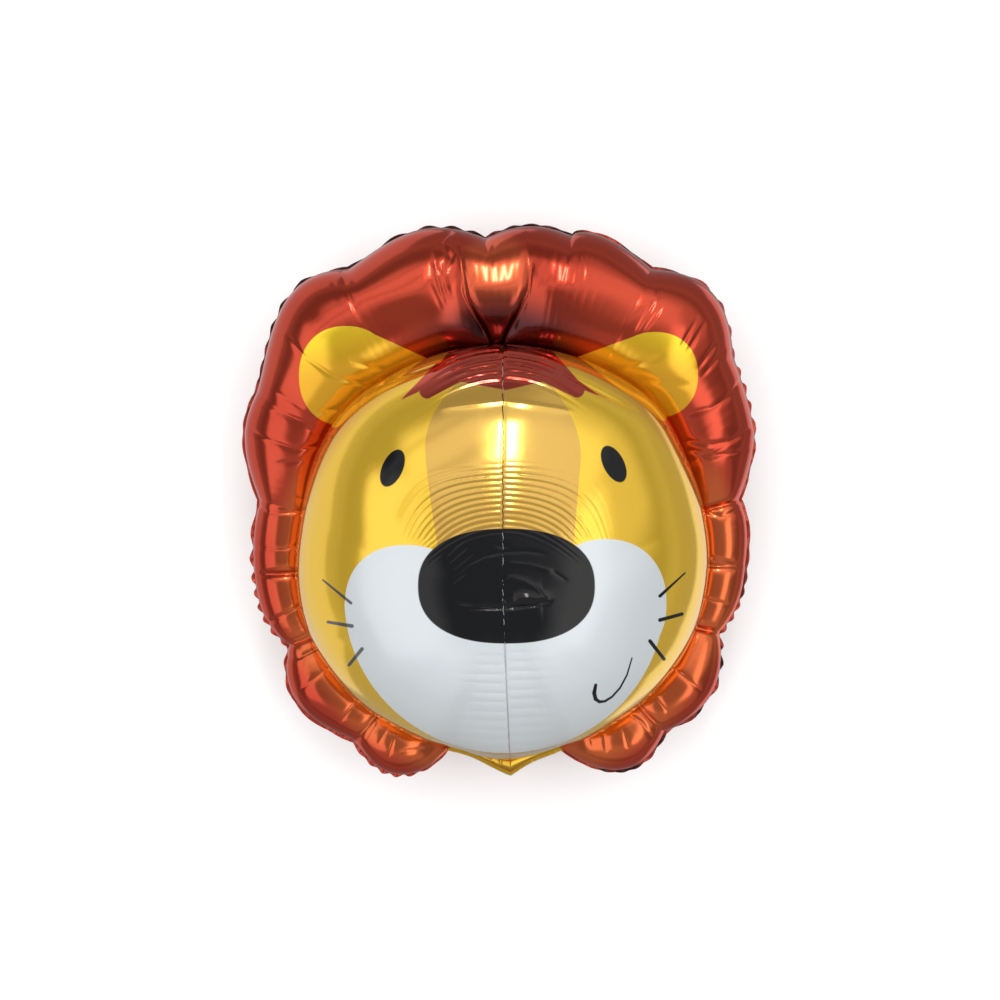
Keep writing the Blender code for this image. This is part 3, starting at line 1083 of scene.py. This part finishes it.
class Wire:
    """A shader value that Python's operators work on, by adding Math nodes."""

    def __init__(self, bench: "Bench", socket: bpy.types.NodeSocket) -> None:
        """Hold a socket.

        Args:
            bench: The material's bench.
            socket: The output socket.
        """
        self.bench = bench
        self.socket = socket

    def __add__(self, other: "Wire | float") -> "Wire":
        """Sum."""
        return self.bench.maths("ADD", self, other)

    __radd__ = __add__

    def __sub__(self, other: "Wire | float") -> "Wire":
        """Difference."""
        return self.bench.maths("SUBTRACT", self, other)

    def __rsub__(self, other: float) -> "Wire":
        """Difference from a number."""
        return self.bench.maths("SUBTRACT", other, self)

    def __mul__(self, other: "Wire | float") -> "Wire":
        """Product."""
        return self.bench.maths("MULTIPLY", self, other)

    __rmul__ = __mul__

    def __truediv__(self, other: "Wire | float") -> "Wire":
        """Quotient."""
        return self.bench.maths("DIVIDE", self, other)

    def __rtruediv__(self, other: float) -> "Wire":
        """A number divided by this value."""
        return self.bench.maths("DIVIDE", other, self)

    def __pow__(self, other: "Wire | float") -> "Wire":
        """Power."""
        return self.bench.maths("POWER", self, other)

    def __abs__(self) -> "Wire":
        """Size without its sign."""
        return self.bench.maths("ABSOLUTE", self)

    def __or__(self, other: "Wire | float") -> "Wire":
        """The larger of two values, which joins two masks."""
        return self.bench.maths("MAXIMUM", self, other)

    def __and__(self, other: "Wire | float") -> "Wire":
        """The smaller of two values, which keeps where both masks are."""
        return self.bench.maths("MINIMUM", self, other)

    def step(self, start: float, end: float) -> "Wire":
        """A smooth step from 0 at one value to 1 at another.

        Args:
            start: The value that gives 0.
            end: The value that gives 1.

        Returns:
            The step.
        """
        settings = {"interpolation_type": "SMOOTHSTEP", "clamp": True}
        sockets = {"Value": self, "From Min": start, "From Max": end}
        if start > end:
            sockets = {"Value": self, "From Min": end, "From Max": start}
            sockets |= {"To Min": 1.0, "To Max": 0.0}
        node = self.bench.node("ShaderNodeMapRange", settings, sockets)
        return Wire(self.bench, node.outputs["Result"])


Colour = tuple[float, float, float]


def ink(red: int, green: int, blue: int) -> Colour:
    """A colour for the shaders from its ordinary 0 to 255 values.

    Args:
        red: Red.
        green: Green.
        blue: Blue.

    Returns:
        The linear colour.
    """
    shares = (red / 255.0, green / 255.0, blue / 255.0)
    return tuple(s / 12.92 if s <= 0.04045 else ((s + 0.055) / 1.055) ** 2.4 for s in shares)


class Bench:
    """Builds the nodes of one material, or of the studio's world."""

    def __init__(self, owner: bpy.types.Material | bpy.types.World) -> None:
        """Start with a plain shader.

        Args:
            owner: What the nodes belong to.
        """
        owner.use_nodes = True
        self.owner = owner
        self.tree = owner.node_tree
        lit = isinstance(owner, bpy.types.World)
        self.shader = self.tree.nodes["Background" if lit else "Principled BSDF"]
        place = self.node("ShaderNodeTexCoord").outputs["Generated" if lit else "Object"]
        self.position = Wire(self, place)

    @classmethod
    def of_material(cls, name: str) -> "Bench":
        """A bench for a new material."""
        return cls(bpy.data.materials.new(name))

    def node(
        self,
        kind: str,
        settings: dict[str, object] | None = None,
        sockets: dict[str | int, object] | None = None,
    ) -> bpy.types.Node:
        """Add a node.

        Args:
            kind: The node's type.
            settings: Its settings, with a ramp's stops under "stops".
            sockets: Values or wires for its sockets.

        Returns:
            The node.
        """
        made = self.tree.nodes.new(kind)
        for name, value in (settings or {}).items():
            if name == "stops":
                ramp = made.color_ramp.elements
                for place, colour in value[2:]:
                    ramp.new(place)
                for element, (place, colour) in zip(ramp, sorted(value)):
                    element.position = place
                    element.color = (*colour, 1.0)
            else:
                setattr(made, name, value)
        for name, value in (sockets or {}).items():
            if isinstance(value, Wire):
                self.tree.links.new(value.socket, made.inputs[name])
            elif isinstance(value, tuple) and len(made.inputs[name].default_value) == 4:
                made.inputs[name].default_value = (*value, 1.0)
            else:
                made.inputs[name].default_value = value
        return made

    def maths(self, operation: str, first: "Wire | float", second: "Wire | float" = 0.0) -> Wire:
        """Add a Math node.

        Args:
            operation: What it works out.
            first: Its first value.
            second: Its second value.

        Returns:
            The result.
        """
        node = self.node("ShaderNodeMath", {"operation": operation}, {0: first, 1: second})
        return Wire(self, node.outputs[0])

    def axes(self, vector: Wire) -> tuple[Wire, Wire, Wire]:
        """A vector's three parts."""
        node = self.node("ShaderNodeSeparateXYZ", None, {0: vector})
        return tuple(Wire(self, node.outputs[i]) for i in range(3))

    def mix(self, share: "Wire | float", first: "Wire | Colour", second: "Wire | Colour") -> Wire:
        """Mix two colours.

        Args:
            share: How much of the second.
            first: The first colour.
            second: The second colour.

        Returns:
            The mixed colour.
        """
        node = self.node(
            "ShaderNodeMix",
            {"data_type": "RGBA", "clamp_factor": True},
            {0: share, 6: first, 7: second},
        )
        return Wire(self, node.outputs[2])

    def noise(self, scale: float, detail: float) -> Wire:
        """A cloud pattern.

        Args:
            scale: How many clouds there are to a metre.
            detail: How many finer layers there are.

        Returns:
            Values about 0.5.
        """
        sockets = {"Vector": self.position, "Scale": scale, "Detail": detail}
        return Wire(self, self.node("ShaderNodeTexNoise", None, sockets).outputs["Fac"])

    def feed(self, name: str, value: "Wire | float | Colour") -> None:
        """Set or link a socket of the shader.

        Args:
            name: The socket's name.
            value: Its value or wire.
        """
        socket = self.shader.inputs[name]
        if isinstance(value, Wire):
            self.tree.links.new(value.socket, socket)
        elif isinstance(value, tuple):
            socket.default_value = (*value, 1.0)
        else:
            socket.default_value = value

    def bump(self, height: Wire, distance: float) -> None:
        """Give the surface fine relief.

        Args:
            height: The relief, 0 to 1.
            distance: Its depth in metres.
        """
        node = self.node("ShaderNodeBump", None, {"Height": height, "Distance": distance})
        self.feed("Normal", Wire(self, node.outputs[0]))


@dataclass(frozen=True)
class Blob:
    """A rounded shape of the print, in the photograph's pixels.

    The turn is in degrees, clockwise to the viewer. Squareness 2 is an ellipse.
    """

    middle: tuple[float, float]
    half_width: float
    half_height: float
    squareness: float = 2.0
    turn: float = 0.0

    def inside(self, across: Wire, down: Wire, soft: float) -> Wire:
        """Mask of the shape.

        Args:
            across: Pixels across.
            down: Pixels down.
            soft: How far to each side of the outline the print's edge fades.

        Returns:
            1 inside and 0 outside.
        """
        u, v = across - self.middle[0], down - self.middle[1]
        if self.turn:
            cos, sin = math.cos(math.radians(self.turn)), math.sin(math.radians(self.turn))
            u, v = u * cos + v * sin, v * cos - u * sin
        power = self.squareness
        size = abs(u / self.half_width) ** power + abs(v / self.half_height) ** power
        gap = (size ** (1.0 / power) - 1.0) * min(self.half_width, self.half_height)
        return gap.step(soft, -soft)


@dataclass(frozen=True)
class Stroke:
    """A tapering line of the print, in the photograph's pixels, with its half widths."""

    start: tuple[float, float]
    end: tuple[float, float]
    start_width: float
    end_width: float

    def inside(self, across: Wire, down: Wire, soft: float) -> Wire:
        """Mask of the stroke.

        Args:
            across: Pixels across.
            down: Pixels down.
            soft: How far to each side of the outline the print's edge fades.

        Returns:
            1 inside and 0 outside.
        """
        u, v = across - self.start[0], down - self.start[1]
        way = (self.end[0] - self.start[0], self.end[1] - self.start[1])
        length = math.hypot(*way)
        along = (u * (way[0] / length**2) + v * (way[1] / length**2)) & 1.0 | 0.0
        off_x, off_y = u - along * way[0], v - along * way[1]
        distance = (off_x * off_x + off_y * off_y) ** 0.5
        width = self.start_width + along * (self.end_width - self.start_width)
        return (distance - width).step(soft, -soft)


def strokes_through(*points: tuple[float, float, float]) -> tuple[Stroke, ...]:
    """One line of the print as strokes from each of its points to the next.

    Args:
        points: Pixels across and down, and the half width there.

    Returns:
        The strokes.
    """
    pairs = zip(points, points[1:])
    return tuple(Stroke(start[:2], end[:2], start[2], end[2]) for start, end in pairs)


@dataclass(frozen=True)
class Edge:
    """A straight edge of the print: the mask is on its right, going from start to end."""

    start: tuple[float, float]
    end: tuple[float, float]

    def inside(self, across: Wire, down: Wire, soft: float) -> Wire:
        """Mask of the side to the right of the edge, as the viewer sees it.

        Args:
            across: Pixels across.
            down: Pixels down.
            soft: How far to each side of the edge the print's edge fades.

        Returns:
            1 on the right and 0 on the left.
        """
        way = (self.end[0] - self.start[0], self.end[1] - self.start[1])
        length = math.hypot(*way)
        u, v = across - self.start[0], down - self.start[1]
        side = v * (way[0] / length) - u * (way[1] / length)
        return side.step(-soft, soft)


Shape = Blob | Stroke | Edge


CHIN_PRINT = Blob((505, 768), 60, 28, 4.0)
CHIN_COLOUR = ink(226, 176, 50)


@dataclass(frozen=True)
class Ink:
    """One printed colour and how its surface is."""

    colour: Colour
    metallic: float = 1.0
    roughness: float = 0.2


class Print:
    """Masks in the photograph's pixels, laid over the foil from straight in front."""

    def __init__(self, bench: Bench) -> None:
        """Work out where each point of the surface shows in the photograph.

        Args:
            bench: The material's bench.
        """
        x, y, z = bench.axes(bench.position)
        nearer = (CAMERA_HEIGHT / PIXEL) / (CAMERA_HEIGHT + HeadForm.back_depth - z)
        self.across = x * nearer + PHOTO_MIDDLE[0]
        self.down = PHOTO_MIDDLE[1] - y * nearer
        self.height = z

    def shape(self, *shapes: Shape, soft: float = PRINT_EDGE) -> Wire:
        """Mask of several shapes together.

        Args:
            shapes: The shapes.
            soft: How soft their outlines are, in pixels.

        Returns:
            1 inside any of them.
        """
        whole = shapes[0].inside(self.across, self.down, soft)
        for shape in shapes[1:]:
            whole = whole | shape.inside(self.across, self.down, soft)
        return whole

    def common(self, *shapes: Shape, soft: float = PRINT_EDGE) -> Wire:
        """Mask of where several shapes overlap.

        Args:
            shapes: The shapes.
            soft: How soft their outlines are, in pixels.

        Returns:
            1 inside all of them.
        """
        whole = shapes[0].inside(self.across, self.down, soft)
        for shape in shapes[1:]:
            whole = whole & shape.inside(self.across, self.down, soft)
        return whole


@dataclass(frozen=True)
class FoilFinish:
    """Metallised film: mirror bright under clear ink, with a faint ripple."""

    name: str
    roughness: float = 0.17
    ripple: float = 0.00005
    ripple_scale: float = 85.0
    coat_weight: float = 0.5
    coat_ior: float = 1.5
    edge_tint: Colour = ink(255, 190, 180)
    coat_roughness: float = 0.06

    def foil(self, bench: Bench) -> None:
        """Give a bench the film's own surface.

        Args:
            bench: The material's bench.
        """
        bench.feed("Metallic", 1.0)
        bench.feed("Roughness", self.roughness)
        bench.feed("Coat Weight", self.coat_weight)
        bench.feed("Coat IOR", self.coat_ior)
        bench.feed("Specular Tint", self.edge_tint)
        bench.feed("Coat Roughness", self.coat_roughness)
        bench.bump(bench.noise(self.ripple_scale, 1.0), self.ripple)


@dataclass(frozen=True)
class ManePrint(FoilFinish):
    """The mane's orange red, with the two yellow ears printed on it, painted highlights on the crown's
    lobe and the lower inner side, and painted shade in the crown's crease and on the ears.
    """

    name: str = "mane_print"
    mane: Colour = ink(212, 74, 44)
    mane_deep: Colour = ink(202, 64, 38)
    # lighter orange of the painted highlight on the lower mane's inner side
    inner: Colour = ink(246, 126, 62)
    # orange of the painted highlight on the crown's narrow lobe
    crown: Colour = ink(232, 98, 56)
    chin: Colour = CHIN_COLOUR
    edge_tint: Colour = ink(238, 196, 196)
    ear: Colour = ink(252, 218, 40)
    # darker yellow of the painted shade on the ears' lower parts
    ear_painted_shade: Colour = ink(222, 150, 28)
    # dark maroon of the painted shade in the crease under the crown
    crease_painted_shade: Colour = ink(78, 26, 28)
    inner_highlight_zone: Blob = Blob((508, 562), 230, 222)
    crown_highlight_zone: Blob = Blob((495, 270), 33, 32, 2.6)
    crease_painted_shade_zone: Blob = Blob((504, 352), 76, 52)
    ears: tuple[Shape, ...] = (
        Blob((346, 376), 47, 50, 2.2),
        Stroke((370, 373.5), (443, 366), 43.5, 0.5),
        Blob((655, 375), 43, 43, 2.2),
        Stroke((637, 373.4), (554, 366), 39.5, 0.5),
    )

    def material(self) -> bpy.types.Material:
        """Build the finish.

        Returns:
            The material.
        """
        bench = Bench.of_material(self.name)
        self.foil(bench)
        prints = Print(bench)
        mane = bench.mix(bench.noise(9.0, 2.0).step(0.35, 0.7), self.mane, self.mane_deep)
        # Painted highlight: lighter orange over the inner side of the lower mane.
        painted_highlight_strip = prints.shape(self.inner_highlight_zone, soft=9.0) & prints.down.step(430.0, 500.0)
        # Painted highlight: the crown's narrow lobe is printed brighter orange.
        crown = prints.shape(self.crown_highlight_zone, soft=7.0)
        mane = bench.mix(painted_highlight_strip * 0.65, mane, self.inner)
        mane = bench.mix(crown, mane, self.crown)
        # Painted shade: dark maroon in the crease where the crown's lobes meet the face.
        pinch = prints.shape(self.crease_painted_shade_zone, soft=24.0)
        mane = bench.mix(pinch, mane, self.crease_painted_shade)
        front = prints.height.step(HeadForm.back_depth, HeadForm.back_depth + 0.002)
        ears = prints.shape(*self.ears) & front
        # Painted shade: the ears darken towards the crease below them.
        shade = (prints.down + abs(prints.across - 500.0) * -0.35).step(255.0, 320.0)
        ear = bench.mix(shade * 0.75, self.ear, self.ear_painted_shade)
        colour = bench.mix(ears, mane, ear)
        bench.feed("Base Color", bench.mix(prints.shape(CHIN_PRINT), colour, self.chin))
        bench.feed("Metallic", 1.0 - ears * 0.25)
        return bench.owner


@dataclass(frozen=True)
class BackFoil(FoilFinish):
    """The back's plain orange red foil."""

    name: str = "back_foil"
    colour: Colour = ink(212, 74, 44)
    colour_deep: Colour = ink(198, 62, 38)

    def material(self) -> bpy.types.Material:
        """Build the finish.

        Returns:
            The material.
        """
        bench = Bench.of_material(self.name)
        self.foil(bench)
        cloud = bench.noise(7.0, 2.0).step(0.35, 0.7)
        bench.feed("Base Color", bench.mix(cloud, self.colour, self.colour_deep))
        return bench.owner


@dataclass(frozen=True)
class WeldFoil(FoilFinish):
    """The outer weld's crimped foil, with painted shade in dark patches over the top of the head and
    down its right side.
    """

    name: str = "weld_foil"
    colour: Colour = ink(205, 70, 48)
    # dark red of the painted shade on the rim
    colour_deep: Colour = ink(64, 22, 18)
    chin: Colour = CHIN_COLOUR
    weld_roughness: float = 0.3

    def material(self) -> bpy.types.Material:
        """Build the finish.

        Returns:
            The material.
        """
        bench = Bench.of_material(self.name)
        self.foil(bench)
        bench.feed("Roughness", self.weld_roughness)
        x, y, _ = bench.axes(bench.position)
        # Painted shade: dark patches on the rim over the top and down the right side.
        crown = (y + x * -0.25).step(0.10, 0.26) | (x * 0.8 - y).step(0.22, 0.34)
        cloud = bench.noise(26.0, 2.0).step(0.38, 0.55) * crown
        colour = bench.mix(cloud, self.colour, self.colour_deep)
        chin = Print(bench).shape(CHIN_PRINT)
        bench.feed("Base Color", bench.mix(chin, colour, self.chin))
        bench.bump(bench.noise(400.0, 2.0), 0.0001)
        return bench.owner


@dataclass(frozen=True)
class BridgeSide:
    """One side of the gold bridge, in pixels: a rounded shoulder, then a slow taper.

    Inset is how far the side draws in, at the shoulder's top and at the taper's
    end, and is negative on the viewer's right.
    """

    edge: float
    shoulder_inset: float
    shoulder_height: float
    taper_inset: float
    taper_start: float
    taper_height: float
    taper_power: float = 1.0
    top: float = 382.0

    def across(self, down: Wire) -> Wire:
        """Where the side runs.

        Args:
            down: Pixels down.

        Returns:
            Pixels across.
        """
        shoulder = (1.0 - (down - self.top) / self.shoulder_height | 0.0) ** 2.0
        taper = ((down - self.taper_start) / self.taper_height | 0.0) ** self.taper_power
        return shoulder * self.shoulder_inset + taper * self.taper_inset + self.edge


@dataclass(frozen=True)
class FacePrint(FoilFinish):
    """The face's print: yellow foil, gold bridge, red tuft, white muzzle and black marks, with painted
    shade in amber round the rim and at the chin, and a painted reflection that greys the left whisker
    marks.
    """

    name: str = "face_print"
    yellow: Ink = Ink(ink(248, 201, 48), 0.78)
    # amber of the painted shade round the face's rim and towards the chin
    amber_painted_shade: Ink = Ink(ink(222, 158, 38), 0.78)
    edge_tint: Colour = ink(255, 240, 205)
    coat_weight: float = 1.0
    coat_ior: float = 1.55
    roughness: float = 0.13
    gold: Ink = Ink(ink(222, 176, 74))
    gold_deep: Ink = Ink(ink(212, 164, 60))
    tuft: Ink = Ink(ink(212, 70, 44))
    white: Ink = Ink(ink(196, 202, 205), 0.25, 0.33)
    black: Ink = Ink(ink(9, 11, 16), 0.0, 0.10)
    inside_rim: Blob = Blob((502, 562), 203, 205)
    muzzle: tuple[Blob, ...] = (
        Blob((504.5, 599), 160, 154, 2.0),
        Blob((406, 605), 61, 60, 2.25),
        Blob((606, 603), 60.5, 64, 2.2),
    )
    muzzle_top: float = 602.0
    nose: Blob = Blob((506.5, 586), 88.5, 57.5, 2.35)
    eyes: tuple[Blob, ...] = (
        Blob((392.5, 468), 10.5, 20, 2.0, 24.0),
        Blob((613.8, 464), 10.5, 20, 2.0, -27.0),
    )
    # painted reflection: the left whisker marks are grey, the right ones black
    left_whisker_painted_reflection: Ink = Ink(ink(92, 92, 96), 0.0, 0.2)
    grey_strokes: tuple[Stroke, ...] = (
        Stroke((323, 580), (351, 603), 0.9, 1.5),
        Stroke((328, 622), (352, 626), 1.5, 1.9),
        Stroke((362, 649), (349, 665), 1.9, 1.5),
    )
    strokes: tuple[Stroke, ...] = (
        Stroke((685, 573), (660, 596), 0.9, 1.7),
        Stroke((682, 614), (660, 620), 1.9, 1.9),
        Stroke((650, 641), (664, 659), 1.9, 1.9),
        *strokes_through(
            (595.8, 685.0, 1.6), (594.2, 693.0, 2.1), (595.6, 699.0, 2.0), (599.5, 701.8, 1.6),
            (605.0, 701.2, 1.3), (612.0, 696.8, 1.1), (620.0, 688.0, 1.0), (627.0, 675.0, 0.9),
            (632.0, 658.0, 0.7),
        ),
    )
    bridge_edge: float = 0.5
    bridge: tuple[BridgeSide, BridgeSide] = (
        BridgeSide(425.0, 33.0, 66.0, 12.0, 448.0, 94.0, 1.3),
        BridgeSide(581.0, -32.0, 76.0, -7.0, 458.0, 83.0),
    )
    tuft_halves: tuple[tuple[Edge, ...], ...] = (
        (Edge((506, 390), (454, 380.5)), Edge((454, 420), (454, 300)), Edge((506, 300), (506, 420))),
        (Edge((548, 380.5), (506, 390)), Edge((505, 420), (505, 300)), Edge((548, 300), (548, 420))),
    )
    locks: tuple[Stroke, ...] = (
        Stroke((462, 362), (427, 391), 17.0, 7.5),
        Stroke((440, 372), (402, 399), 9.0, 0.4),
        Stroke((540, 362), (577, 390), 17.0, 7.5),
        Stroke((548, 368), (598, 395), 8.0, 0.4),
    )

    def tuft_mask(self, prints: Print) -> Wire:
        """Mask of the red tuft on the forehead.

        Args:
            prints: The places on the print.

        Returns:
            1 on the tuft and 0 off it.
        """
        left, right = (prints.common(*half) for half in self.tuft_halves)
        return left | right | prints.shape(*self.locks)

    def bridge_mask(self, prints: Print) -> Wire:
        """Mask of the gold band from the forehead to the nose.

        Args:
            prints: The places on the print.

        Returns:
            1 on the band and 0 off it.
        """
        left, right = (side.across(prints.down) for side in self.bridge)
        soft = self.bridge_edge
        return (prints.across - left).step(-soft, soft) & (right - prints.across).step(-soft, soft)

    def material(self) -> bpy.types.Material:
        """Build the finish.

        Returns:
            The material.
        """
        bench = Bench.of_material(self.name)
        self.foil(bench)
        prints = Print(bench)
        cloud = bench.noise(6.0, 1.0)
        # Painted shade: amber outside the inner blob, round the rim by the crease with the mane.
        rim = prints.shape(self.inside_rim, soft=8.0)
        colour = bench.mix(rim, self.amber_painted_shade.colour, self.yellow.colour)
        # Painted shade: more amber towards the bottom of the chin.
        colour = bench.mix(prints.down.step(735.0, 765.0) * 0.6, colour, self.amber_painted_shade.colour)
        bridge = self.bridge_mask(prints)
        gold = bench.mix(cloud.step(0.35, 0.7), self.gold.colour, self.gold_deep.colour)
        colour = bench.mix(bridge, colour, gold)
        tuft = self.tuft_mask(prints)
        colour = bench.mix(tuft, colour, self.tuft.colour)
        lower = prints.down.step(self.muzzle_top - 1.0, self.muzzle_top + 1.0)
        white = (prints.shape(self.muzzle[0]) & lower) | prints.shape(*self.muzzle[1:])
        black = prints.shape(self.nose, *self.eyes, *self.strokes)
        # Painted reflection: the left whisker marks in grey.
        left_whisker_painted_reflection = prints.shape(*self.grey_strokes)
        colour = bench.mix(white, colour, self.white.colour)
        colour = bench.mix(left_whisker_painted_reflection, colour, self.left_whisker_painted_reflection.colour)
        colour = bench.mix(black, colour, self.black.colour)
        bench.feed("Base Color", colour)
        metallic = self.yellow.metallic + tuft * (1.0 - self.yellow.metallic)
        metallic = metallic + white * (self.white.metallic - metallic)
        bench.feed("Metallic", metallic + black * (self.black.metallic - metallic))
        bench.feed("Specular IOR Level", 0.1)
        bench.feed("Coat Weight", 1.0 - black * 0.5)
        rough = self.roughness + white * (self.white.roughness - self.roughness)
        bench.feed("Roughness", rough + black * (self.black.roughness - rough))
        return bench.owner


@dataclass(frozen=True)
class SeamFoil(FoilFinish):
    """The upright weld's crimped foil: dull and dark, with painted glints as light blotches on the tuft
    and the nose.
    """

    name: str = "seam_foil"
    weld_roughness: float = 0.3
    gold: Colour = ink(96, 66, 30)
    tuft: Colour = ink(86, 30, 26)
    tuft_painted_glint: Colour = ink(250, 190, 170)
    nose: Colour = ink(30, 31, 33)
    nose_painted_glint: Colour = ink(172, 174, 176)
    muzzle: Colour = ink(232, 234, 235)
    chin: Colour = ink(206, 160, 50)
    levels: tuple[float, float, float, float] = (401.0, 528.0, 643.0, 758.0)
    level_fade: float = 2.0

    def material(self) -> bpy.types.Material:
        """Build the finish.

        Returns:
            The material.
        """
        bench = Bench.of_material(self.name)
        self.foil(bench)
        bench.feed("Roughness", self.weld_roughness)
        down = Print(bench).down
        # Painted glints: light blotches along the weld on the tuft and the nose.
        painted_glint = bench.noise(150.0, 1.0).step(0.48, 0.60)
        tuft = bench.mix(painted_glint, self.tuft, self.tuft_painted_glint)
        nose = bench.mix(painted_glint, self.nose, self.nose_painted_glint)
        colour = tuft
        for level, below in zip(self.levels, (self.gold, nose, self.muzzle, self.chin)):
            past = down.step(level - self.level_fade, level + self.level_fade)
            colour = bench.mix(past, colour, below)
        bench.feed("Base Color", colour)
        return bench.owner


@dataclass(frozen=True)
class Softbox:
    """A bright or dark panel of the studio, as seen from the balloon, in degrees."""

    azimuth: float
    elevation: float
    half_width: float
    half_height: float
    glow: float
    soft: float = 0.06

    def mask(self, bench: Bench) -> Wire:
        """Mask of the panel over the studio's directions.

        Args:
            bench: The world's bench.

        Returns:
            1 on the panel and 0 off it.
        """
        around, up = math.radians(self.azimuth), math.radians(self.elevation)
        level = Vector((math.sin(around), math.cos(around), 0.0))
        middle = level * math.cos(up) + Vector((0.0, 0.0, math.sin(up)))
        side = Vector((math.cos(around), -math.sin(around), 0.0))
        parts = bench.axes(bench.position)
        ahead, across, over = (
            parts[0] * way.x + parts[1] * way.y + parts[2] * way.z
            for way in (middle, side, middle.cross(side))
        )
        wide = abs(across) - ahead * math.tan(math.radians(self.half_width))
        tall = abs(over) - ahead * math.tan(math.radians(self.half_height))
        return wide.step(self.soft, -self.soft) * tall.step(self.soft, -self.soft)


@dataclass(frozen=True)
class Studio:
    """The floor, the light and the camera, which looks straight down at the face."""

    floor_size: float = 14.0
    floor_colour: Colour = (0.95, 0.95, 0.95)
    lens: float = 36.0 * CAMERA_HEIGHT / (PIXEL * PHOTO_SIDE)
    fill: float = 2.1
    fill_spread: float = 100.0
    softboxes: tuple[Softbox, ...] = (
        Softbox(292.0, -38.0, 50.0, 34.0, 0.75, 0.05),
        Softbox(90.0, -48.0, 38.0, 16.0, 0.95, 0.06),
        Softbox(45.0, 50.0, 34.0, 30.0, 0.66, 0.18),
        Softbox(180.0, 45.0, 50.0, 25.0, 0.50, 0.15),
        Softbox(265.0, 50.0, 30.0, 20.0, 1.15, 0.08),
        Softbox(98.0, 62.0, 24.0, 10.0, 1.55, 0.10),
        Softbox(0.0, 54.0, 32.0, 18.0, 1.10, 0.14),
        Softbox(325.0, 56.0, 22.0, 2.2, 0.75, 0.02),
        Softbox(325.0, 40.0, 22.0, 1.8, 0.70, 0.02),
        Softbox(330.0, 70.0, 22.0, 2.5, 0.70, 0.02),
        Softbox(2.0, 49.0, 1.5, 8.0, 15.0, 0.025),
    )
    sky: tuple[tuple[float, float], ...] = (
        (0.00, 0.35),
        (0.44, 0.35),
        (0.50, 0.42),
        (0.56, 0.36),
        (0.62, 0.26),
        (0.90, 0.26),
        (0.97, 0.32),
        (1.00, 0.36),
    )

    def lay_floor(self) -> None:
        """Lay the pale floor."""
        mesh = bmesh.new()
        bmesh.ops.create_grid(mesh, x_segments=2, y_segments=2, size=self.floor_size / 2.0)
        data = bpy.data.meshes.new("floor")
        mesh.to_mesh(data)
        mesh.free()
        bench = Bench.of_material("floor_paper")
        grain = bench.noise(2.5, 3.0)
        pale = tuple(0.985 * value for value in self.floor_colour)
        bench.feed("Base Color", bench.mix(grain, self.floor_colour, pale))
        bench.feed("Roughness", 0.9)
        data.materials.append(bench.owner)
        floor = bpy.data.objects.new("floor", data)
        bpy.context.scene.collection.objects.link(floor)
        floor.visible_glossy = False

    def light_room(self) -> None:
        """Light the room: white all round low down, darker above, with softboxes."""
        world = bpy.data.worlds.new("studio")
        bench = Bench(world)
        height = bench.axes(bench.position)[2] * 0.5 + 0.5
        stops = [(place, (glow, glow, glow)) for place, glow in self.sky]
        ramp = bench.node("ShaderNodeValToRGB", {"stops": stops}, {0: height})
        colour = Wire(bench, ramp.outputs[0])
        for box in self.softboxes:
            colour = bench.mix(box.mask(bench), colour, (box.glow, box.glow, box.glow))
        bench.feed("Color", colour)
        bpy.context.scene.world = world

    def hang_fill(self) -> None:
        """Hang the soft fill, which lights the floor and the inks but has no reflection."""
        light = bpy.data.lights.new("fill", "SUN")
        light.energy = self.fill
        light.angle = math.radians(self.fill_spread)
        lamp = bpy.data.objects.new("fill", light)
        lamp.visible_glossy = False
        bpy.context.scene.collection.objects.link(lamp)

    def set_camera(self) -> None:
        """Set the camera over the face, as far off as gives the photograph's view."""
        data = bpy.data.cameras.new("camera")
        data.lens = self.lens
        camera = bpy.data.objects.new("camera", data)
        middle = PHOTO_SIDE / 2.0
        camera.location = (
            (middle - PHOTO_MIDDLE[0]) * PIXEL,
            (PHOTO_MIDDLE[1] - middle) * PIXEL,
            HeadForm.back_depth + CAMERA_HEIGHT,
        )
        bpy.context.scene.collection.objects.link(camera)
        bpy.context.scene.camera = camera

    def build(self) -> None:
        """Set up the studio."""
        self.lay_floor()
        self.light_room()
        self.hang_fill()
        self.set_camera()
        bpy.context.scene.view_settings.view_transform = "Standard"


def main() -> None:
    """Build the balloon and its studio."""
    logging.basicConfig(level=logging.INFO, format="%(message)s")
    Studio().build()
    form = HeadForm()
    face = FaceDome(form)
    face.build(FacePrint().material())
    ManeTube(form).build(ManePrint().material())
    BackPillow(form).build(BackFoil().material())
    WeldedEdge(form).build(WeldFoil().material())
    MiddleWeld(face).build(SeamFoil().material())


if __name__ == "__main__":
    main()
